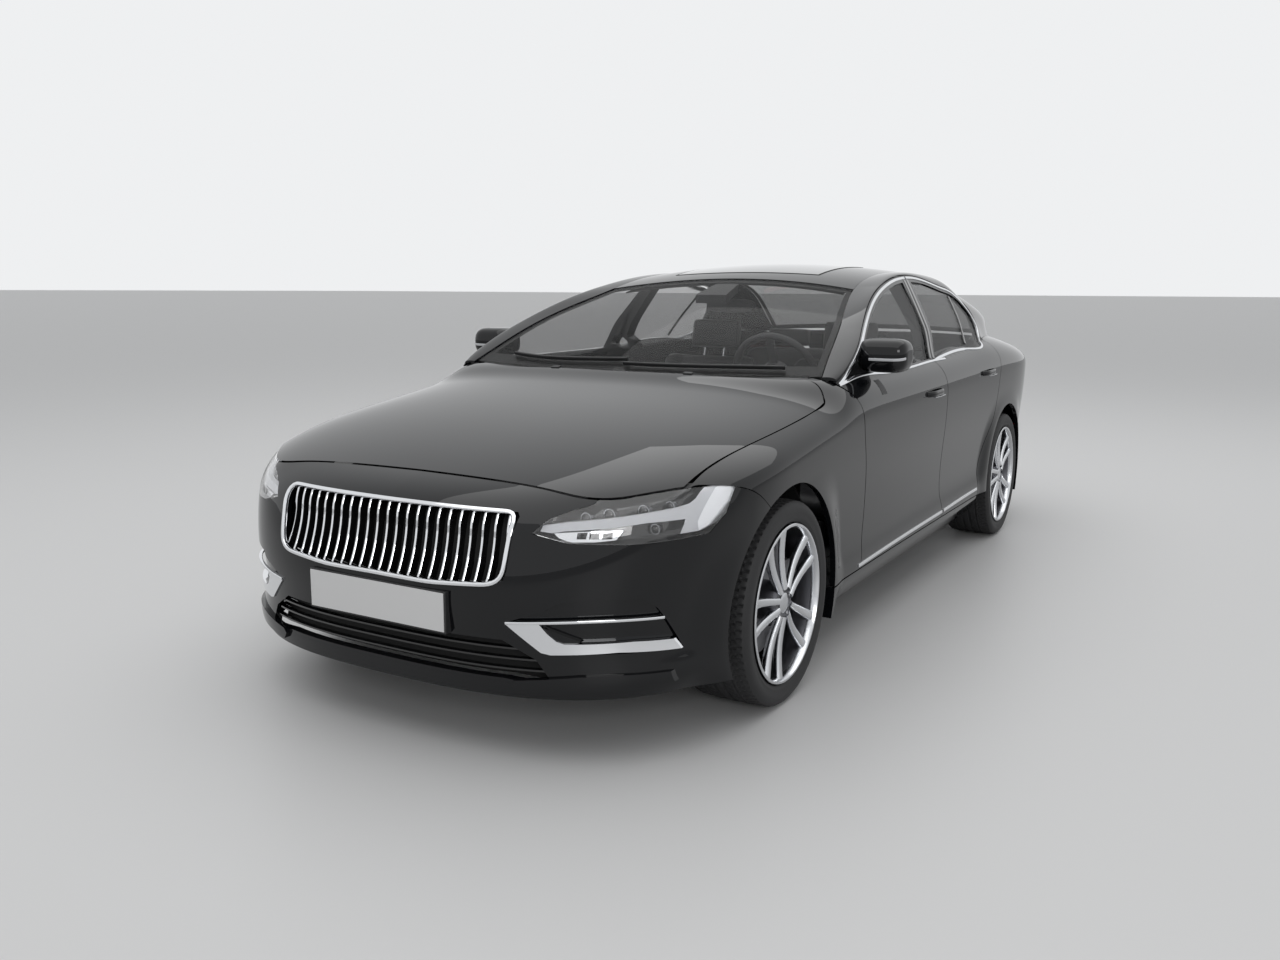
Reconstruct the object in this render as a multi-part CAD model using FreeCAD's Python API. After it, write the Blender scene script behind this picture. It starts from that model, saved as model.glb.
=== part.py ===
import FreeCAD, Part
import math
import os

# A four-door saloon car. It faces -Y, its left side is +X and it stands on z = 0.
# Stations are measured from the nose towards the tail.

# Driving dimensions, in millimetres
front_overhang = 875.0
wheelbase = 2941.0
rear_overhang = 1147.0
half_width = 940.0
height = 1443.0
track = 1612.0
shut_gap = 5.0
close_gap = 0.3
overrun = 200.0

# Sheet and panel thicknesses
panel_wall = 20.0
lid_wall = 24.0
bumper_wall = 30.0
glass_wall = 5.0
glass_inset = 6.0
floor_wall = 12.0
door_depth = 105.0
frame_depth = 26.0
door_taper = 16.0
crease_radius = 30.0
belt_blend = 150.0
flare_blend = 130.0
glass_gap = 1.0

# Wheels and what carries them
tyre_radius = 332.0
tyre_width = 246.0
tread_width = 214.0
tyre_shoulder = 20.0
bead_radius = 258.0
bead_width = 228.0
rim_width = 240.0
rim_wall = 9.0
rim_lip = 10.0
spoke_count = 5
spoke_depth = 34.0
spoke_width = 34.0
spoke_spread = 34.0
spoke_set = 8.0
hub_radius = 76.0
hub_depth = 60.0
disc_radius = 186.0
disc_wall = 30.0
disc_offset = 16.0
stub_radius = 30.0
stub_length = 78.0
bearing_gap = 0.05
carrier_radius = 62.0
carrier_depth = 56.0
pivot_radius = 14.0
arch_radius = 388.0
rear_arch_radius = 386.0
liner_radius = 402.0
rear_liner_radius = 392.0
liner_wall = 5.0
liner_inner = 500.0
rear_liner_inner = 640.0
front_liner_outer = 834.0
rear_liner_outer = 854.0

# Body heights and the places of its openings
sill_bottom = 190.0
door_bottom = 298.0
bulkhead_height = 895.0
toe_height = 548.0
floor_height = 196.0
kick_height = 330.0
bench_floor_height = 353.0
axle_floor_height = 519.0
boot_height = 400.0
sill_inner = 742.0
post_depth = 38.0
pad_length = 120.0
pad_width = 60.0
pad_drop = 8.0
pad_inset = 190.0

# Cabin and machinery
engine_length = 640.0
engine_width = 560.0
engine_height = 470.0
engine_bottom = 290.0
seat_width = 520.0
seat_offset = 365.0
seat_height = 290.0
cushion_length = 520.0
cushion_depth = 150.0
back_height = 620.0
back_depth = 130.0
headrest_width = 270.0
headrest_height = 190.0
headrest_depth = 95.0
wheel_ring_radius = 182.0
wheel_grip_radius = 15.0
pipe_radius = 32.0

length = front_overhang + wheelbase + rear_overhang
rear_axle = front_overhang + wheelbase
hub_height = tyre_radius
steer_inset = stub_length - carrier_depth / 2
nose_power = 2.8
tail_power = 3.2
roll_power = 2.8


def station(unit):
    """Station of a place in axle units: 0 nose, 1 front axle, 2 rear axle, 3 tail."""
    if unit < 1:
        return unit * front_overhang
    if unit < 2:
        return front_overhang + (unit - 1) * wheelbase
    return rear_axle + (unit - 2) * rear_overhang


def spot(x, s, z):
    """A point in the car's frame from its half-width place, station and height."""
    return FreeCAD.Vector(x, s - length / 2, z)


def smooth_curve(pairs):
    """Natural cubic spline through (place, value) pairs, straight beyond its ends."""
    places = [pair[0] for pair in pairs]
    values = [pair[1] for pair in pairs]
    count = len(pairs)
    steps = [places[i + 1] - places[i] for i in range(count - 1)]
    slopes = [(values[i + 1] - values[i]) / steps[i] for i in range(count - 1)]
    bends = [0.0] * count
    pivots = [0.0] * count
    for i in range(1, count - 1):
        pivot = 2 * (steps[i - 1] + steps[i]) - steps[i - 1] * pivots[i - 1]
        pivots[i] = steps[i] / pivot
        bends[i] = (6 * (slopes[i] - slopes[i - 1]) - steps[i - 1] * bends[i - 1]) / pivot
    for i in range(count - 2, 0, -1):
        bends[i] = bends[i] - pivots[i] * bends[i + 1]
    first_slope = slopes[0] - steps[0] * bends[1] / 6
    last_slope = slopes[-1] + steps[-1] * bends[-2] / 6

    def value(place):
        if place <= places[0]:
            return values[0] + first_slope * (place - places[0])
        if place >= places[-1]:
            return values[-1] + last_slope * (place - places[-1])
        i = 0
        while place > places[i + 1]:
            i += 1
        after = (place - places[i]) / steps[i]
        before = 1 - after
        bend = (before ** 3 - before) * bends[i] + (after ** 3 - after) * bends[i + 1]
        return before * values[i] + after * values[i + 1] + bend * steps[i] ** 2 / 6

    return value


def profile(shares, size):
    """Curve over stations of a table of (axle unit, share of a size)."""
    return smooth_curve([(station(unit), share * size) for unit, share in shares])


def rising(shares, size):
    """Curve over heights of a table of (share of the height, share of a size)."""
    return smooth_curve([(level * height, share * size) for level, share in shares])


# Master curves of the body, in axle units and shares of the height or the half width
shoulder_shares = [(0.0, 0.4435), (0.217, 0.4657), (0.571, 0.5024), (1.0, 0.5371), (1.145, 0.5738),
                   (1.315, 0.5891), (1.587, 0.6015), (1.893, 0.6154), (2.335, 0.6216),
                   (2.684, 0.6126), (3.0, 0.5932)]
crown_shares = [(0.0, 0.4851), (0.137, 0.5211), (0.4, 0.5683), (0.686, 0.6057), (1.009, 0.641),
                (1.094, 0.6667), (1.145, 0.696), (1.189, 0.7485), (1.23, 0.7670), (1.315, 0.7734),
                (1.587, 0.7796), (1.791, 0.7956), (1.898, 0.8053), (2.073, 0.79), (2.437, 0.7498),
                (2.69, 0.7277), (3.0, 0.7138)]
hood_shares = [(0.0, 0.5017), (0.229, 0.5419), (0.4, 0.5717), (0.686, 0.6119), (1.009, 0.65),
               (1.111, 0.6854), (1.155, 0.6979), (1.213, 0.7096)]
deck_shares = [(2.335, 0.7581), (2.509, 0.7484), (2.69, 0.7318), (2.858, 0.7242), (3.0, 0.7207)]
roof_shares = [(1.145, 0.6722), (1.179, 0.7055), (1.213, 0.7387), (1.285, 0.8039), (1.349, 0.8538),
               (1.417, 0.9002), (1.496, 0.9473), (1.587, 0.9827), (1.655, 0.9965), (1.706, 1.0),
               (1.791, 0.9958), (1.859, 0.9841), (1.927, 0.9633), (1.995, 0.9356), (2.16, 0.8926),
               (2.335, 0.8316), (2.448, 0.7845), (2.596, 0.7207)]
edge_shares = [(1.179, 0.8511), (1.228, 0.817), (1.285, 0.7819), (1.383, 0.7043), (1.466, 0.6404),
               (1.536, 0.617), (1.655, 0.6053), (1.825, 0.5979), (1.927, 0.6043), (2.03, 0.634),
               (2.248, 0.6809), (2.553, 0.734)]
belt_shares = [(1.179, 0.6805), (1.412, 0.6916), (1.587, 0.7034), (1.794, 0.7207), (1.898, 0.736),
               (1.961, 0.7443), (2.117, 0.7415), (2.437, 0.7277), (2.684, 0.6999)]
upper_shares = [(1.189, 0.6854), (1.285, 0.781), (1.412, 0.8808), (1.528, 0.9335), (1.637, 0.957),
                (1.733, 0.9508), (1.829, 0.9238), (1.906, 0.8559), (1.93, 0.79)]
plan_shares = [(0.0, 1.0), (1.0, 1.0), (1.2, 0.994), (1.4, 0.99), (1.6, 0.99), (1.82, 0.994),
               (2.0, 1.0), (2.5, 0.994), (3.0, 0.985)]
sweep_shares = [(1.179, 0.031), (1.35, 0.031), (1.47, 0.024), (1.587, 0.0), (1.82, 0.0),
                (1.93, -0.028), (2.16, -0.055), (2.5, -0.062)]
arch_shares = [(1.179, 0.004), (1.4, 0.008), (1.5, 0.016), (1.62, 0.027), (1.82, 0.027),
               (1.96, 0.019), (2.25, 0.012), (2.5, 0.008)]
taper_shares = [(1.825, 0.0), (1.893, 0.0032), (1.978, 0.0149), (2.16, 0.0426), (2.437, 0.1277),
                (2.596, 0.2128)]
side_shares = [(0.0, 0.70), (0.2, 0.900), (0.253, 0.945), (0.306, 0.972), (0.365, 0.985),
               (0.447, 0.972), (0.553, 0.968), (0.68, 0.976), (0.82, 0.990), (0.94, 0.998), (1.0, 1.0)]
nose_shares = [(0.1317, 0.0274), (0.2079, 0.016), (0.2633, 0.0069), (0.3119, 0.0), (0.3742, 0.0091),
               (0.4435, 0.0343), (0.4913, 0.0663), (0.5267, 0.1143)]
tail_shares = [(0.1386, 0.0523), (0.2079, 0.0174), (0.2911, 0.0), (0.3881, 0.0044),
               (0.4851, 0.0218), (0.5891, 0.0453), (0.6584, 0.061), (0.7207, 0.0872)]
hood_crown_share = 0.011
glass_share, glass_lean_share, glass_bend_share = 0.9404, 0.7676, 0.6646
glass_foot_share = 0.6895
cowl_share, boot_share = 1.192, 2.475
dome_lift_share = 0.35
flare_share = 0.996

shoulder_line = profile(shoulder_shares, height)
crown_line = profile(crown_shares, height)
hood_line = profile(hood_shares, height)
deck_line = profile(deck_shares, height)
roof_line = profile(roof_shares, height)
edge_line = profile(edge_shares, half_width)
belt_line = profile(belt_shares, height)
upper_line = profile(upper_shares, height)
plan_line = profile(plan_shares, half_width)
sweep_line = profile(sweep_shares, height)
arch_line = profile(arch_shares, height)
taper_line = profile(taper_shares, half_width)
side_curve = smooth_curve(side_shares)
nose_setback = rising(nose_shares, front_overhang)
tail_setback = rising(tail_shares, rear_overhang)
cowl_station = station(cowl_share)
boot_station = station(boot_share)


def mix(a, b, t):
    return a + (b - a) * t


def soft_lower(a, b, blend):
    """The lower of two heights, rounded where they cross."""
    t = min(1.0, max(0.0, 0.5 + 0.5 * (b - a) / blend))
    return mix(b, a, t) - blend * t * (1 - t)


def end_reach(s, z):
    """Plan reach from the nearer axle to the nose or the tail, and its power."""
    if s < front_overhang:
        return front_overhang - nose_setback(z), nose_power
    return rear_overhang - tail_setback(z), tail_power


def end_share(s, z):
    """How far the plan has narrowed at a station beyond an axle."""
    beyond = max(front_overhang - s, s - rear_axle, 0.0)
    reach, power = end_reach(s, z)
    return max(0.0, 1 - (beyond / reach) ** power) ** (1 / power)


def dome_height(s, x):
    """Height of the hood's or deck's dome, lifted clear of the side between them."""
    middle = (front_overhang + rear_axle) / 2
    if s < middle:
        base = hood_line(min(s, cowl_station))
        past = max(0.0, s - cowl_station)
    else:
        base = deck_line(max(s, boot_station))
        past = max(0.0, boot_station - s)
    return base - hood_crown_share * height * (x / half_width) ** 2 + past * dome_lift_share


def rolled(s, x):
    """Height of the lower body above the shoulder at a half-width place."""
    rise = shoulder_line(s)
    width = plan_line(s) * end_share(s, rise)
    share = min(1.0, abs(x) / width)
    roll = (crown_line(s) - rise) * (1 - share ** roll_power) ** (1 / roll_power)
    return soft_lower(dome_height(s, x), rise + roll, crease_radius)


def flared(share, s, z):
    """Share of the plan width, brought out towards the wheel arches."""
    axle = front_overhang if s < (front_overhang + rear_axle) / 2 else rear_axle
    beyond = math.hypot(s - axle, z - hub_height) - arch_radius
    fade = min(1.0, max(0.0, 1 - beyond / flare_blend))
    return mix(share, max(share, flare_share), fade * fade * (3 - 2 * fade))


def side_width(s, z):
    """Half width of the lower body at a station and height."""
    rise = shoulder_line(s)
    if z <= rise:
        share = flared(side_curve(z / rise), s, z)
    else:
        fullness = min(0.999, (z - rise) / (crown_line(s) - rise))
        share = (1 - fullness ** roll_power) ** (1 / roll_power)
    return plan_line(s) * share * end_share(s, z)


def body_point(m, level):
    """Point of the lower body: m runs round it from nose to tail, level up its section."""
    c = level / height
    ahead = m < front_overhang
    centre = front_overhang if ahead else rear_axle
    beyond = max(front_overhang - m, m - rear_axle, 0.0)
    turn = beyond / half_width
    s = m
    if beyond:
        s = front_overhang * (1 - math.sin(turn)) if ahead else rear_axle + rear_overhang * math.sin(turn)
    for step in range(5):
        rise = shoulder_line(s)
        roll = crown_line(s) - rise
        if c <= 1:
            z = c * rise
            share = flared(side_curve(c), s, z)
        else:
            angle = min(math.pi / 2, (c - 1) * rise / roll)
            sine, cosine = math.sin(angle), math.cos(angle)
            radius = (sine ** roll_power + cosine ** roll_power) ** (-1 / roll_power)
            share, z = radius * cosine, rise + roll * radius * sine
        x = plan_line(s) * share
        if beyond:
            reach, power = end_reach(s, z)
            across, along = math.cos(turn) / max(x, close_gap), math.sin(turn) / reach
            far = (across ** power + along ** power) ** (-1 / power)
            x = far * math.cos(turn)
            s = centre + (-far if ahead else far) * math.sin(turn)
    if c > 1:
        z = soft_lower(dome_height(s, x), z, crease_radius)
    return x, s, z


def around(x, s):
    """Place round the body of a point at a half width and station."""
    if s < front_overhang:
        return front_overhang - half_width * math.atan2(front_overhang - s, x)
    if s > rear_axle:
        return rear_axle + half_width * math.atan2(s - rear_axle, x)
    return s


def section_level(s, z):
    """Section level of a height: the height's share of the shoulder, carried on round the roll."""
    rise = shoulder_line(s)
    if z <= rise:
        return z / rise * height
    fullness = min(0.999, (z - rise) / (crown_line(s) - rise))
    share = (1 - fullness ** roll_power) ** (1 / roll_power)
    return (1 + math.atan2(fullness, share) * (crown_line(s) - rise) / rise) * height


def side_spot(s, z):
    """Surface place (m, level) of a side point given by station and height."""
    return around(side_width(s, z), s), section_level(s, z)


def top_spot(s, x):
    """Surface place (m, level) of a point above the shoulder given by station and half width."""
    rise = shoulder_line(s)
    z = rise
    for step in range(4):
        share = min(0.9999, x / (plan_line(s) * end_share(s, z)))
        fullness = (1 - share ** roll_power) ** (1 / roll_power)
        z = rise + (crown_line(s) - rise) * fullness
    return around(x, s), section_level(s, z)


def glass_width(s, z):
    """Half width of the tumbling side glass, blended into the body at the belt."""
    def leaning(level):
        climb = level / height - glass_foot_share
        share = glass_share - glass_lean_share * climb - glass_bend_share * climb ** 2
        return half_width * share - taper_line(s)

    belt = belt_line(s)
    step_out = side_width(s, belt) - leaning(belt)
    fade = max(0.0, 1 - max(0.0, z - belt) / belt_blend)
    return leaning(z) + step_out * fade * fade * (3 - 2 * fade)


def side_x(s, z):
    return side_width(s, z) if z <= belt_line(s) else glass_width(s, z)


def roof_height(s, x):
    """Height of windscreen, roof and rear glass."""
    across = x / edge_line(s)
    return roof_line(s - sweep_line(s) * across ** 2) - arch_line(s) * across ** 2


# Ways to make curves, faces and solids


def length_shares(points):
    """Share of the whole length that lies before each point."""
    travelled = [0.0]
    for before, after in zip(points, points[1:]):
        travelled.append(travelled[-1] + math.dist(before, after))
    return [d / travelled[-1] for d in travelled]


def path(points):
    """Smooth curve through plane points, by the share of its length."""
    shares = length_shares(points)
    first = smooth_curve(list(zip(shares, [p[0] for p in points])))
    second = smooth_curve(list(zip(shares, [p[1] for p in points])))
    return lambda t: (first(t), second(t))


def sampled(points, count=12):
    """Points spread evenly along the smooth curve through others."""
    line = path(points)
    return [line(i / (count - 1)) for i in range(count)]


def patch(bottom, top, left, right):
    """Plane point inside four boundary curves, by two shares."""
    def point(a, b):
        low, high, near, far = bottom(a), top(a), left(b), right(b)
        corners = [bottom(0), bottom(1), top(0), top(1)]
        result = []
        for k in range(2):
            ruled = mix(low[k], high[k], b) + mix(near[k], far[k], a)
            square = mix(mix(corners[0][k], corners[1][k], a), mix(corners[2][k], corners[3][k], a), b)
            result.append(ruled - square)
        return result

    return point


def surface(point, rows, columns):
    grid = []
    for i in range(rows):
        grid.append([point(i / (rows - 1), j / (columns - 1)) for j in range(columns)])
    sheet = Part.BSplineSurface()
    sheet.interpolate(grid)
    return sheet


def closed(faces):
    """Solid from faces that meet at their edges."""
    shell = Part.makeShell(faces)
    shell.sewShape()
    solid = Part.makeSolid(shell)
    if solid.Volume < 0:
        solid.reverse()
    return solid


def walled(outer, inner, rows=12, columns=12):
    """Solid between two sheets given by shares of the same two directions."""
    front = surface(outer, rows, columns)
    back = surface(inner, rows, columns)
    faces = [front.toShape(), back.toShape()]
    limits = front.bounds()
    other = back.bounds()
    for k in range(2):
        rim_a, rim_b = front.uIso(limits[k]), back.uIso(other[k])
        faces.append(Part.makeRuledSurface(rim_a.toShape(), rim_b.toShape()))
    for k in range(2, 4):
        rim_a, rim_b = front.vIso(limits[k]), back.vIso(other[k])
        faces.append(Part.makeRuledSurface(rim_a.toShape(), rim_b.toShape()))
    return closed(faces)


def prism(points, start, sweep, smooth=False):
    """Block of a closed outline swept along a vector."""
    if smooth:
        curve = Part.BSplineCurve()
        curve.interpolate([start(*p) for p in points], True)
        wire = Part.Wire([curve.toShape()])
    else:
        wire = Part.makePolygon([start(*p) for p in points] + [start(*points[0])])
    return Part.Face(wire).extrude(sweep)


def side_prism(points, x0, x1, smooth=False):
    """Block of a (station, height) outline between two half-width places."""
    return prism(points, lambda s, z: spot(x0, s, z), FreeCAD.Vector(x1 - x0, 0, 0), smooth)


def front_prism(points, s0, s1, smooth=False):
    """Block of a (half width, height) outline between two stations."""
    return prism(points, lambda x, z: spot(x, s0, z), FreeCAD.Vector(0, s1 - s0, 0), smooth)


def plan_prism(points, z0, z1, smooth=False):
    """Block of a (half width, station) outline between two heights."""
    return prism(points, lambda x, s: spot(x, s, z0), FreeCAD.Vector(0, 0, z1 - z0), smooth)


def crosswise(radius, s, z, x0, x1):
    """Cylinder across the car."""
    return Part.makeCylinder(radius, x1 - x0, spot(x0, s, z), FreeCAD.Vector(1, 0, 0))


def mirrored(shape):
    return shape.mirror(FreeCAD.Vector(0, 0, 0), FreeCAD.Vector(1, 0, 0))


def band(points, wall):
    """Outline of a bent plate of even thickness along a plane path."""
    offsets = []
    for i in range(len(points)):
        before = points[max(i - 1, 0)]
        after = points[min(i + 1, len(points) - 1)]
        here = points[i]
        first = (here[0] - before[0], here[1] - before[1]) if i else None
        last = (after[0] - here[0], after[1] - here[1]) if i < len(points) - 1 else None
        first, last = first or last, last or first
        u, v = math.hypot(*first), math.hypot(*last)
        normal = (-(first[1] / u + last[1] / v), first[0] / u + last[0] / v)
        size = math.hypot(*normal)
        slant = (-first[1] / u * normal[0] + first[0] / u * normal[1]) / size
        offsets.append((here[0] + normal[0] / size * wall / slant, here[1] + normal[1] / size * wall / slant))
    return points + offsets[::-1]


# Boundary lines shared by neighbouring panels. Side lines are (station, height), plan lines
# are (half width, station).


def side_places(shares):
    return [(station(unit), level * height) for unit, level in shares]


def plan_places(shares):
    return [(across * half_width, station(unit)) for across, unit in shares]


hood_front_shares = [(0.0, 0.232), (0.32, 0.228), (0.52, 0.224), (0.64, 0.232), (0.715, 0.272),
                     (0.775, 0.334), (0.858, 0.443)]
hood_side_shares = [(0.858, 0.443), (0.866, 0.62), (0.887, 0.85), (0.906, 1.045), (0.913, 1.146)]
hood_rear_shares = [(0.913, 1.146), (0.86, 1.170), (0.79, 1.181), (0.64, 1.1685), (0.32, 1.158),
                    (0.0, 1.1555)]
bumper_side_shares = [(0.60, 0.5285), (0.70, 0.507), (0.80, 0.465)]
door_front_shares = [(1.231, 0.2065), (1.247, 0.262), (1.253, 0.33), (1.248, 0.405), (1.2347, 0.482),
                     (1.2185, 0.56), (1.209, 0.623), (1.199, 0.6604), (1.189, 0.687)]
split_shares = [(1.608, 0.2065), (1.596, 0.45), (1.5865, 0.62), (1.584, 0.706), (1.606, 0.82), (1.641, 0.957)]
door_rear_shares = [(1.824, 0.2065), (1.828, 0.28), (1.869, 0.409), (1.906, 0.49), (1.916, 0.604),
                    (1.925, 0.693), (1.93, 0.79)]
window_foot_shares = [(1.222, 0.6983), (1.35, 0.6995), (1.585, 0.7062)]
rear_window_foot_shares = [(1.592, 0.707), (1.794, 0.7235), (1.898, 0.747), (1.922, 0.775)]

nose_edge = plan_places(hood_front_shares)
hood_side = plan_places(hood_side_shares)
hood_rear = plan_places(hood_rear_shares)
bumper_side = side_places(bumper_side_shares)
door_front = side_places(door_front_shares)
door_split = side_places(split_shares)
door_rear = side_places(door_rear_shares)
upper_tip = door_rear[-1]


def moved(points, ds, dz=0.0):
    return [(s + ds, z + dz) for s, z in points]


def along_upper(s0, s1, drop, count=9):
    """Points along the upper edge of the side windows."""
    places = [mix(s0, s1, i / (count - 1)) for i in range(count)]
    return [(s, upper_line(s) - drop) for s in places]


def side_sheet(region, depth=0.0):
    """Sheet of the body side over a (station, height) region, set in by a depth."""
    def point(a, b):
        s, z = region(a, b)
        return spot(side_x(s, z) - depth, s, z)

    return point


def inward(depth, b):
    """Vector into the body, level over a side and straight down at a top edge."""
    angle = math.pi / 2 * b ** 6
    return FreeCAD.Vector(-depth * math.cos(angle), 0, -depth * math.sin(angle))


def body_sheet(region, depth=0.0):
    """Sheet of the lower body over an (m, level) region, set in by a depth."""
    def point(a, b):
        return spot(*body_point(*region(a, b))) + inward(depth, b)

    return point


def top_sheet(region, rise, drop=0.0):
    """Sheet of an upper surface over a (half width, station) region, lowered by a drop."""
    def point(a, b):
        x, s = region(a, b)
        return spot(x, s, rise(s, x) - drop)

    return point


def shrunk(region, near_a, far_a, near_b, far_b):
    """The same region with its rims moved in by shares."""
    return lambda a, b: region(mix(near_a, 1 - far_a, a), mix(near_b, 1 - far_b, b))


# Front end


def nose_top_points():
    points = [(x, s, rolled(s, x)) for x, s in nose_edge]
    return points + [(side_width(s, z), s, z) for s, z in bumper_side]


def space_path(points):
    shares = length_shares(points)
    curves = [smooth_curve(list(zip(shares, [p[k] for p in points]))) for k in range(3)]
    return lambda t: tuple(curve(t) for curve in curves)


nose_top_curve = space_path(nose_top_points())
nose_corner = length_shares(nose_top_points())[len(nose_edge) - 1]
join_share, join_side_share = 0.457, 0.423
wrap_part_share = 0.72
corner_share = 0.62
edge_lift = 0.6 * shut_gap
inner_lift = lid_wall + shut_gap


def nose_point(t, b, lift=0.0):
    """Point of the front bumper's face: t from centre to arch, b from bottom to top."""
    x, s, z = nose_top_curve(t)
    m = around(max(x, close_gap), s) if x else front_overhang - half_width * math.pi / 2
    join = mix(join_share, join_side_share, t) * height

    def wrapped(level):
        place = front_overhang - abs(front_overhang - s)
        here = body_point(m, section_level(place, level))
        here = body_point(m, section_level(here[1], level))
        return body_point(m, section_level(here[1], level))

    if b <= wrap_part_share:
        return wrapped(mix(sill_bottom, join, b / wrap_part_share))
    foot = wrapped(join)
    below = wrapped(join - shut_gap)
    climb = [(foot[k] - below[k]) / (foot[2] - below[2]) for k in range(3)]
    corner = [foot[k] + climb[k] * (z - foot[2]) * corner_share for k in range(3)]
    r = (b - wrap_part_share) / (1 - wrap_part_share)
    edge = (x, s, z - lift)
    return tuple((1 - r) ** 2 * foot[k] + 2 * r * (1 - r) * corner[k] + r * r * edge[k] for k in range(3))


def nose_sheet(depth, t0=-1.0, t1=1.0, b0=0.0, b1=1.0, lift=0.0):
    """Sheet of the front face set back towards the axle by a depth."""
    def point(a, b):
        t = mix(t0, t1, a)
        x, s, z = nose_point(abs(t), mix(b0, b1, b), lift)
        away = math.hypot(x, front_overhang - s)
        x -= depth * x / away
        s += depth * (front_overhang - s) / away
        return spot(math.copysign(x, t), s, z)

    return point


def shares_outline(points):
    """Closed outline of (share of the half width, share of the height) pairs."""
    return [(x * half_width, z * height) for x, z in points]


grille_shares = [(-0.466, 0.4913), (0.466, 0.4913), (0.477, 0.484), (0.467, 0.385), (0.459, 0.366),
                 (0.425, 0.3555), (0.22, 0.346), (0.0, 0.344), (-0.22, 0.346), (-0.425, 0.3555),
                 (-0.459, 0.366), (-0.467, 0.385), (-0.477, 0.484)]
lamp_shares = [(0.528, 0.4563), (0.563, 0.4826), (0.615, 0.498), (0.665, 0.5085), (0.71, 0.56),
               (0.965, 0.56), (0.953, 0.526), (0.949, 0.48), (0.928, 0.4458), (0.874, 0.4408),
               (0.796, 0.4369), (0.635, 0.4407), (0.569, 0.4504)]
scoop_shares = [(0.47, 0.286), (0.575, 0.3108), (0.622, 0.3283), (0.709, 0.3348), (0.81, 0.332),
                (0.837, 0.3104), (0.85, 0.287), (0.878, 0.2222), (0.617, 0.2268), (0.667, 0.2515),
                (0.572, 0.2786)]
intake_shares = [(-0.60, 0.158), (-0.546, 0.2124), (-0.45, 0.248), (0.45, 0.248), (0.546, 0.2124),
                 (0.60, 0.158), (0.45, 0.170), (-0.45, 0.170)]
intake_bar_shares = (0.188, 0.209, 0.230)
lamp_back_share, grille_back_share = 0.65, 0.35


def scaled_outline(points, grow):
    """Outline grown outward from its middle by a length."""
    middle_x = sum(p[0] for p in points) / len(points)
    middle_z = sum(p[1] for p in points) / len(points)
    result = []
    for x, z in points:
        away = math.hypot(x - middle_x, z - middle_z)
        result.append((x + (x - middle_x) / away * grow, z + (z - middle_z) / away * grow))
    return result


def flipped(points):
    return [(-x, z) for x, z in points][::-1]


bar_height = 9.0
pocket_depth = 14.0


def make_front_bumper():
    """Shell with its openings, bars left across the lower intake and two blind side pockets."""
    shell = walled(nose_sheet(0, lift=edge_lift), nose_sheet(bumper_wall, lift=inner_lift), 41, 22)
    reach, back = front_overhang * lamp_back_share, front_overhang * grille_back_share
    shell = shell.cut(front_prism(shares_outline(grille_shares), -overrun, back))
    bars = []
    for share in intake_bar_shares:
        low, high = share * height - bar_height / 2, share * height + bar_height / 2
        wide = [(-half_width, low), (half_width, low), (half_width, high), (-half_width, high)]
        bars.append(front_prism(wide, -2 * overrun, 2 * back))
    pocket = walled(nose_sheet(-pocket_depth, 0.2, 0.9, 0, 0.7),
                    nose_sheet(pocket_depth, 0.2, 0.9, 0, 0.7), 20, 12)
    intake = front_prism(shares_outline(intake_shares), -overrun, back)
    shell = shell.cut(intake.cut(Part.makeCompound(bars)))
    lamp, scoop = shares_outline(lamp_shares), shares_outline(scoop_shares)
    for shape in (lamp, flipped(lamp)):
        shell = shell.cut(front_prism(shape, -overrun, reach))
    hollow = pocket.common(front_prism(scoop, -overrun, reach))
    shell = shell.cut(hollow).cut(mirrored(hollow))
    return shell.cut(crosswise(arch_radius, front_overhang, hub_height, -2 * half_width, 2 * half_width))


def make_headlamp():
    block = walled(nose_sheet(close_gap, 0.3, 1, 0.35, 1, edge_lift),
                   nose_sheet(bumper_wall, 0.3, 1, 0.35, 1, inner_lift), 24, 16)
    outline = scaled_outline(shares_outline(lamp_shares), -close_gap)
    return block.common(front_prism(outline, -overrun, front_overhang * lamp_back_share))


slat_count = 11
slat_width = 9.0
grille_rim = 12.0
grille_depth = 60.0


def make_grille():
    """Bright frame with upright slats set back inside it."""
    back = front_overhang * grille_back_share
    outline = scaled_outline(shares_outline(grille_shares), -close_gap)

    def layer(depth):
        return walled(nose_sheet(depth, -0.45, 0.45, 0.2, 0.92),
                      nose_sheet(grille_depth, -0.45, 0.45, 0.2, 0.92), 24, 14)

    opening = front_prism(scaled_outline(outline, -grille_rim), -2 * overrun, back)
    frame = layer(0).common(front_prism(outline, -overrun, back).cut(opening))
    low, high = min(p[1] for p in outline), max(p[1] for p in outline)
    reach = outline[1][0] - grille_rim
    slats = []
    for i in range(-slat_count, slat_count + 1):
        x = i * reach / (slat_count + 0.5)
        near, far = x - slat_width / 2, x + slat_width / 2
        slats.append(front_prism([(near, low), (far, low), (far, high), (near, high)], -overrun, back))
    inside = front_prism(scaled_outline(outline, -grille_rim / 2), -2 * overrun, back)
    bars = layer(grille_rim).common(inside).common(Part.makeCompound(slats))
    return frame.fuse(list(bars.Solids))


def hood_region(gap, front_gap):
    """Region inside the hood's outline, smaller by a gap and by another at the front."""
    nose, flank = sampled(nose_edge, 16), sampled(hood_side)
    ring = nose + flank[1:] + hood_rear[1:]
    near = band(ring, gap)[:len(ring) - 1:-1]
    far = band(ring, front_gap)[:len(ring) - 1:-1]
    corner, end = len(nose), len(nose) + len(flank) - 1
    front = [(0.0, far[0][1])] + far[1:corner]
    side = [front[-1]] + near[corner:end]
    rear = [side[-1]] + near[end:-1] + [(0.0, near[-1][1])]
    across_front = [(-x, s) for x, s in front[::-1]] + front[1:]
    across_rear = [(-x, s) for x, s in rear] + rear[-2::-1]
    return patch(path(across_front), path(across_rear), path([(-x, s) for x, s in side]), path(side))


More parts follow.
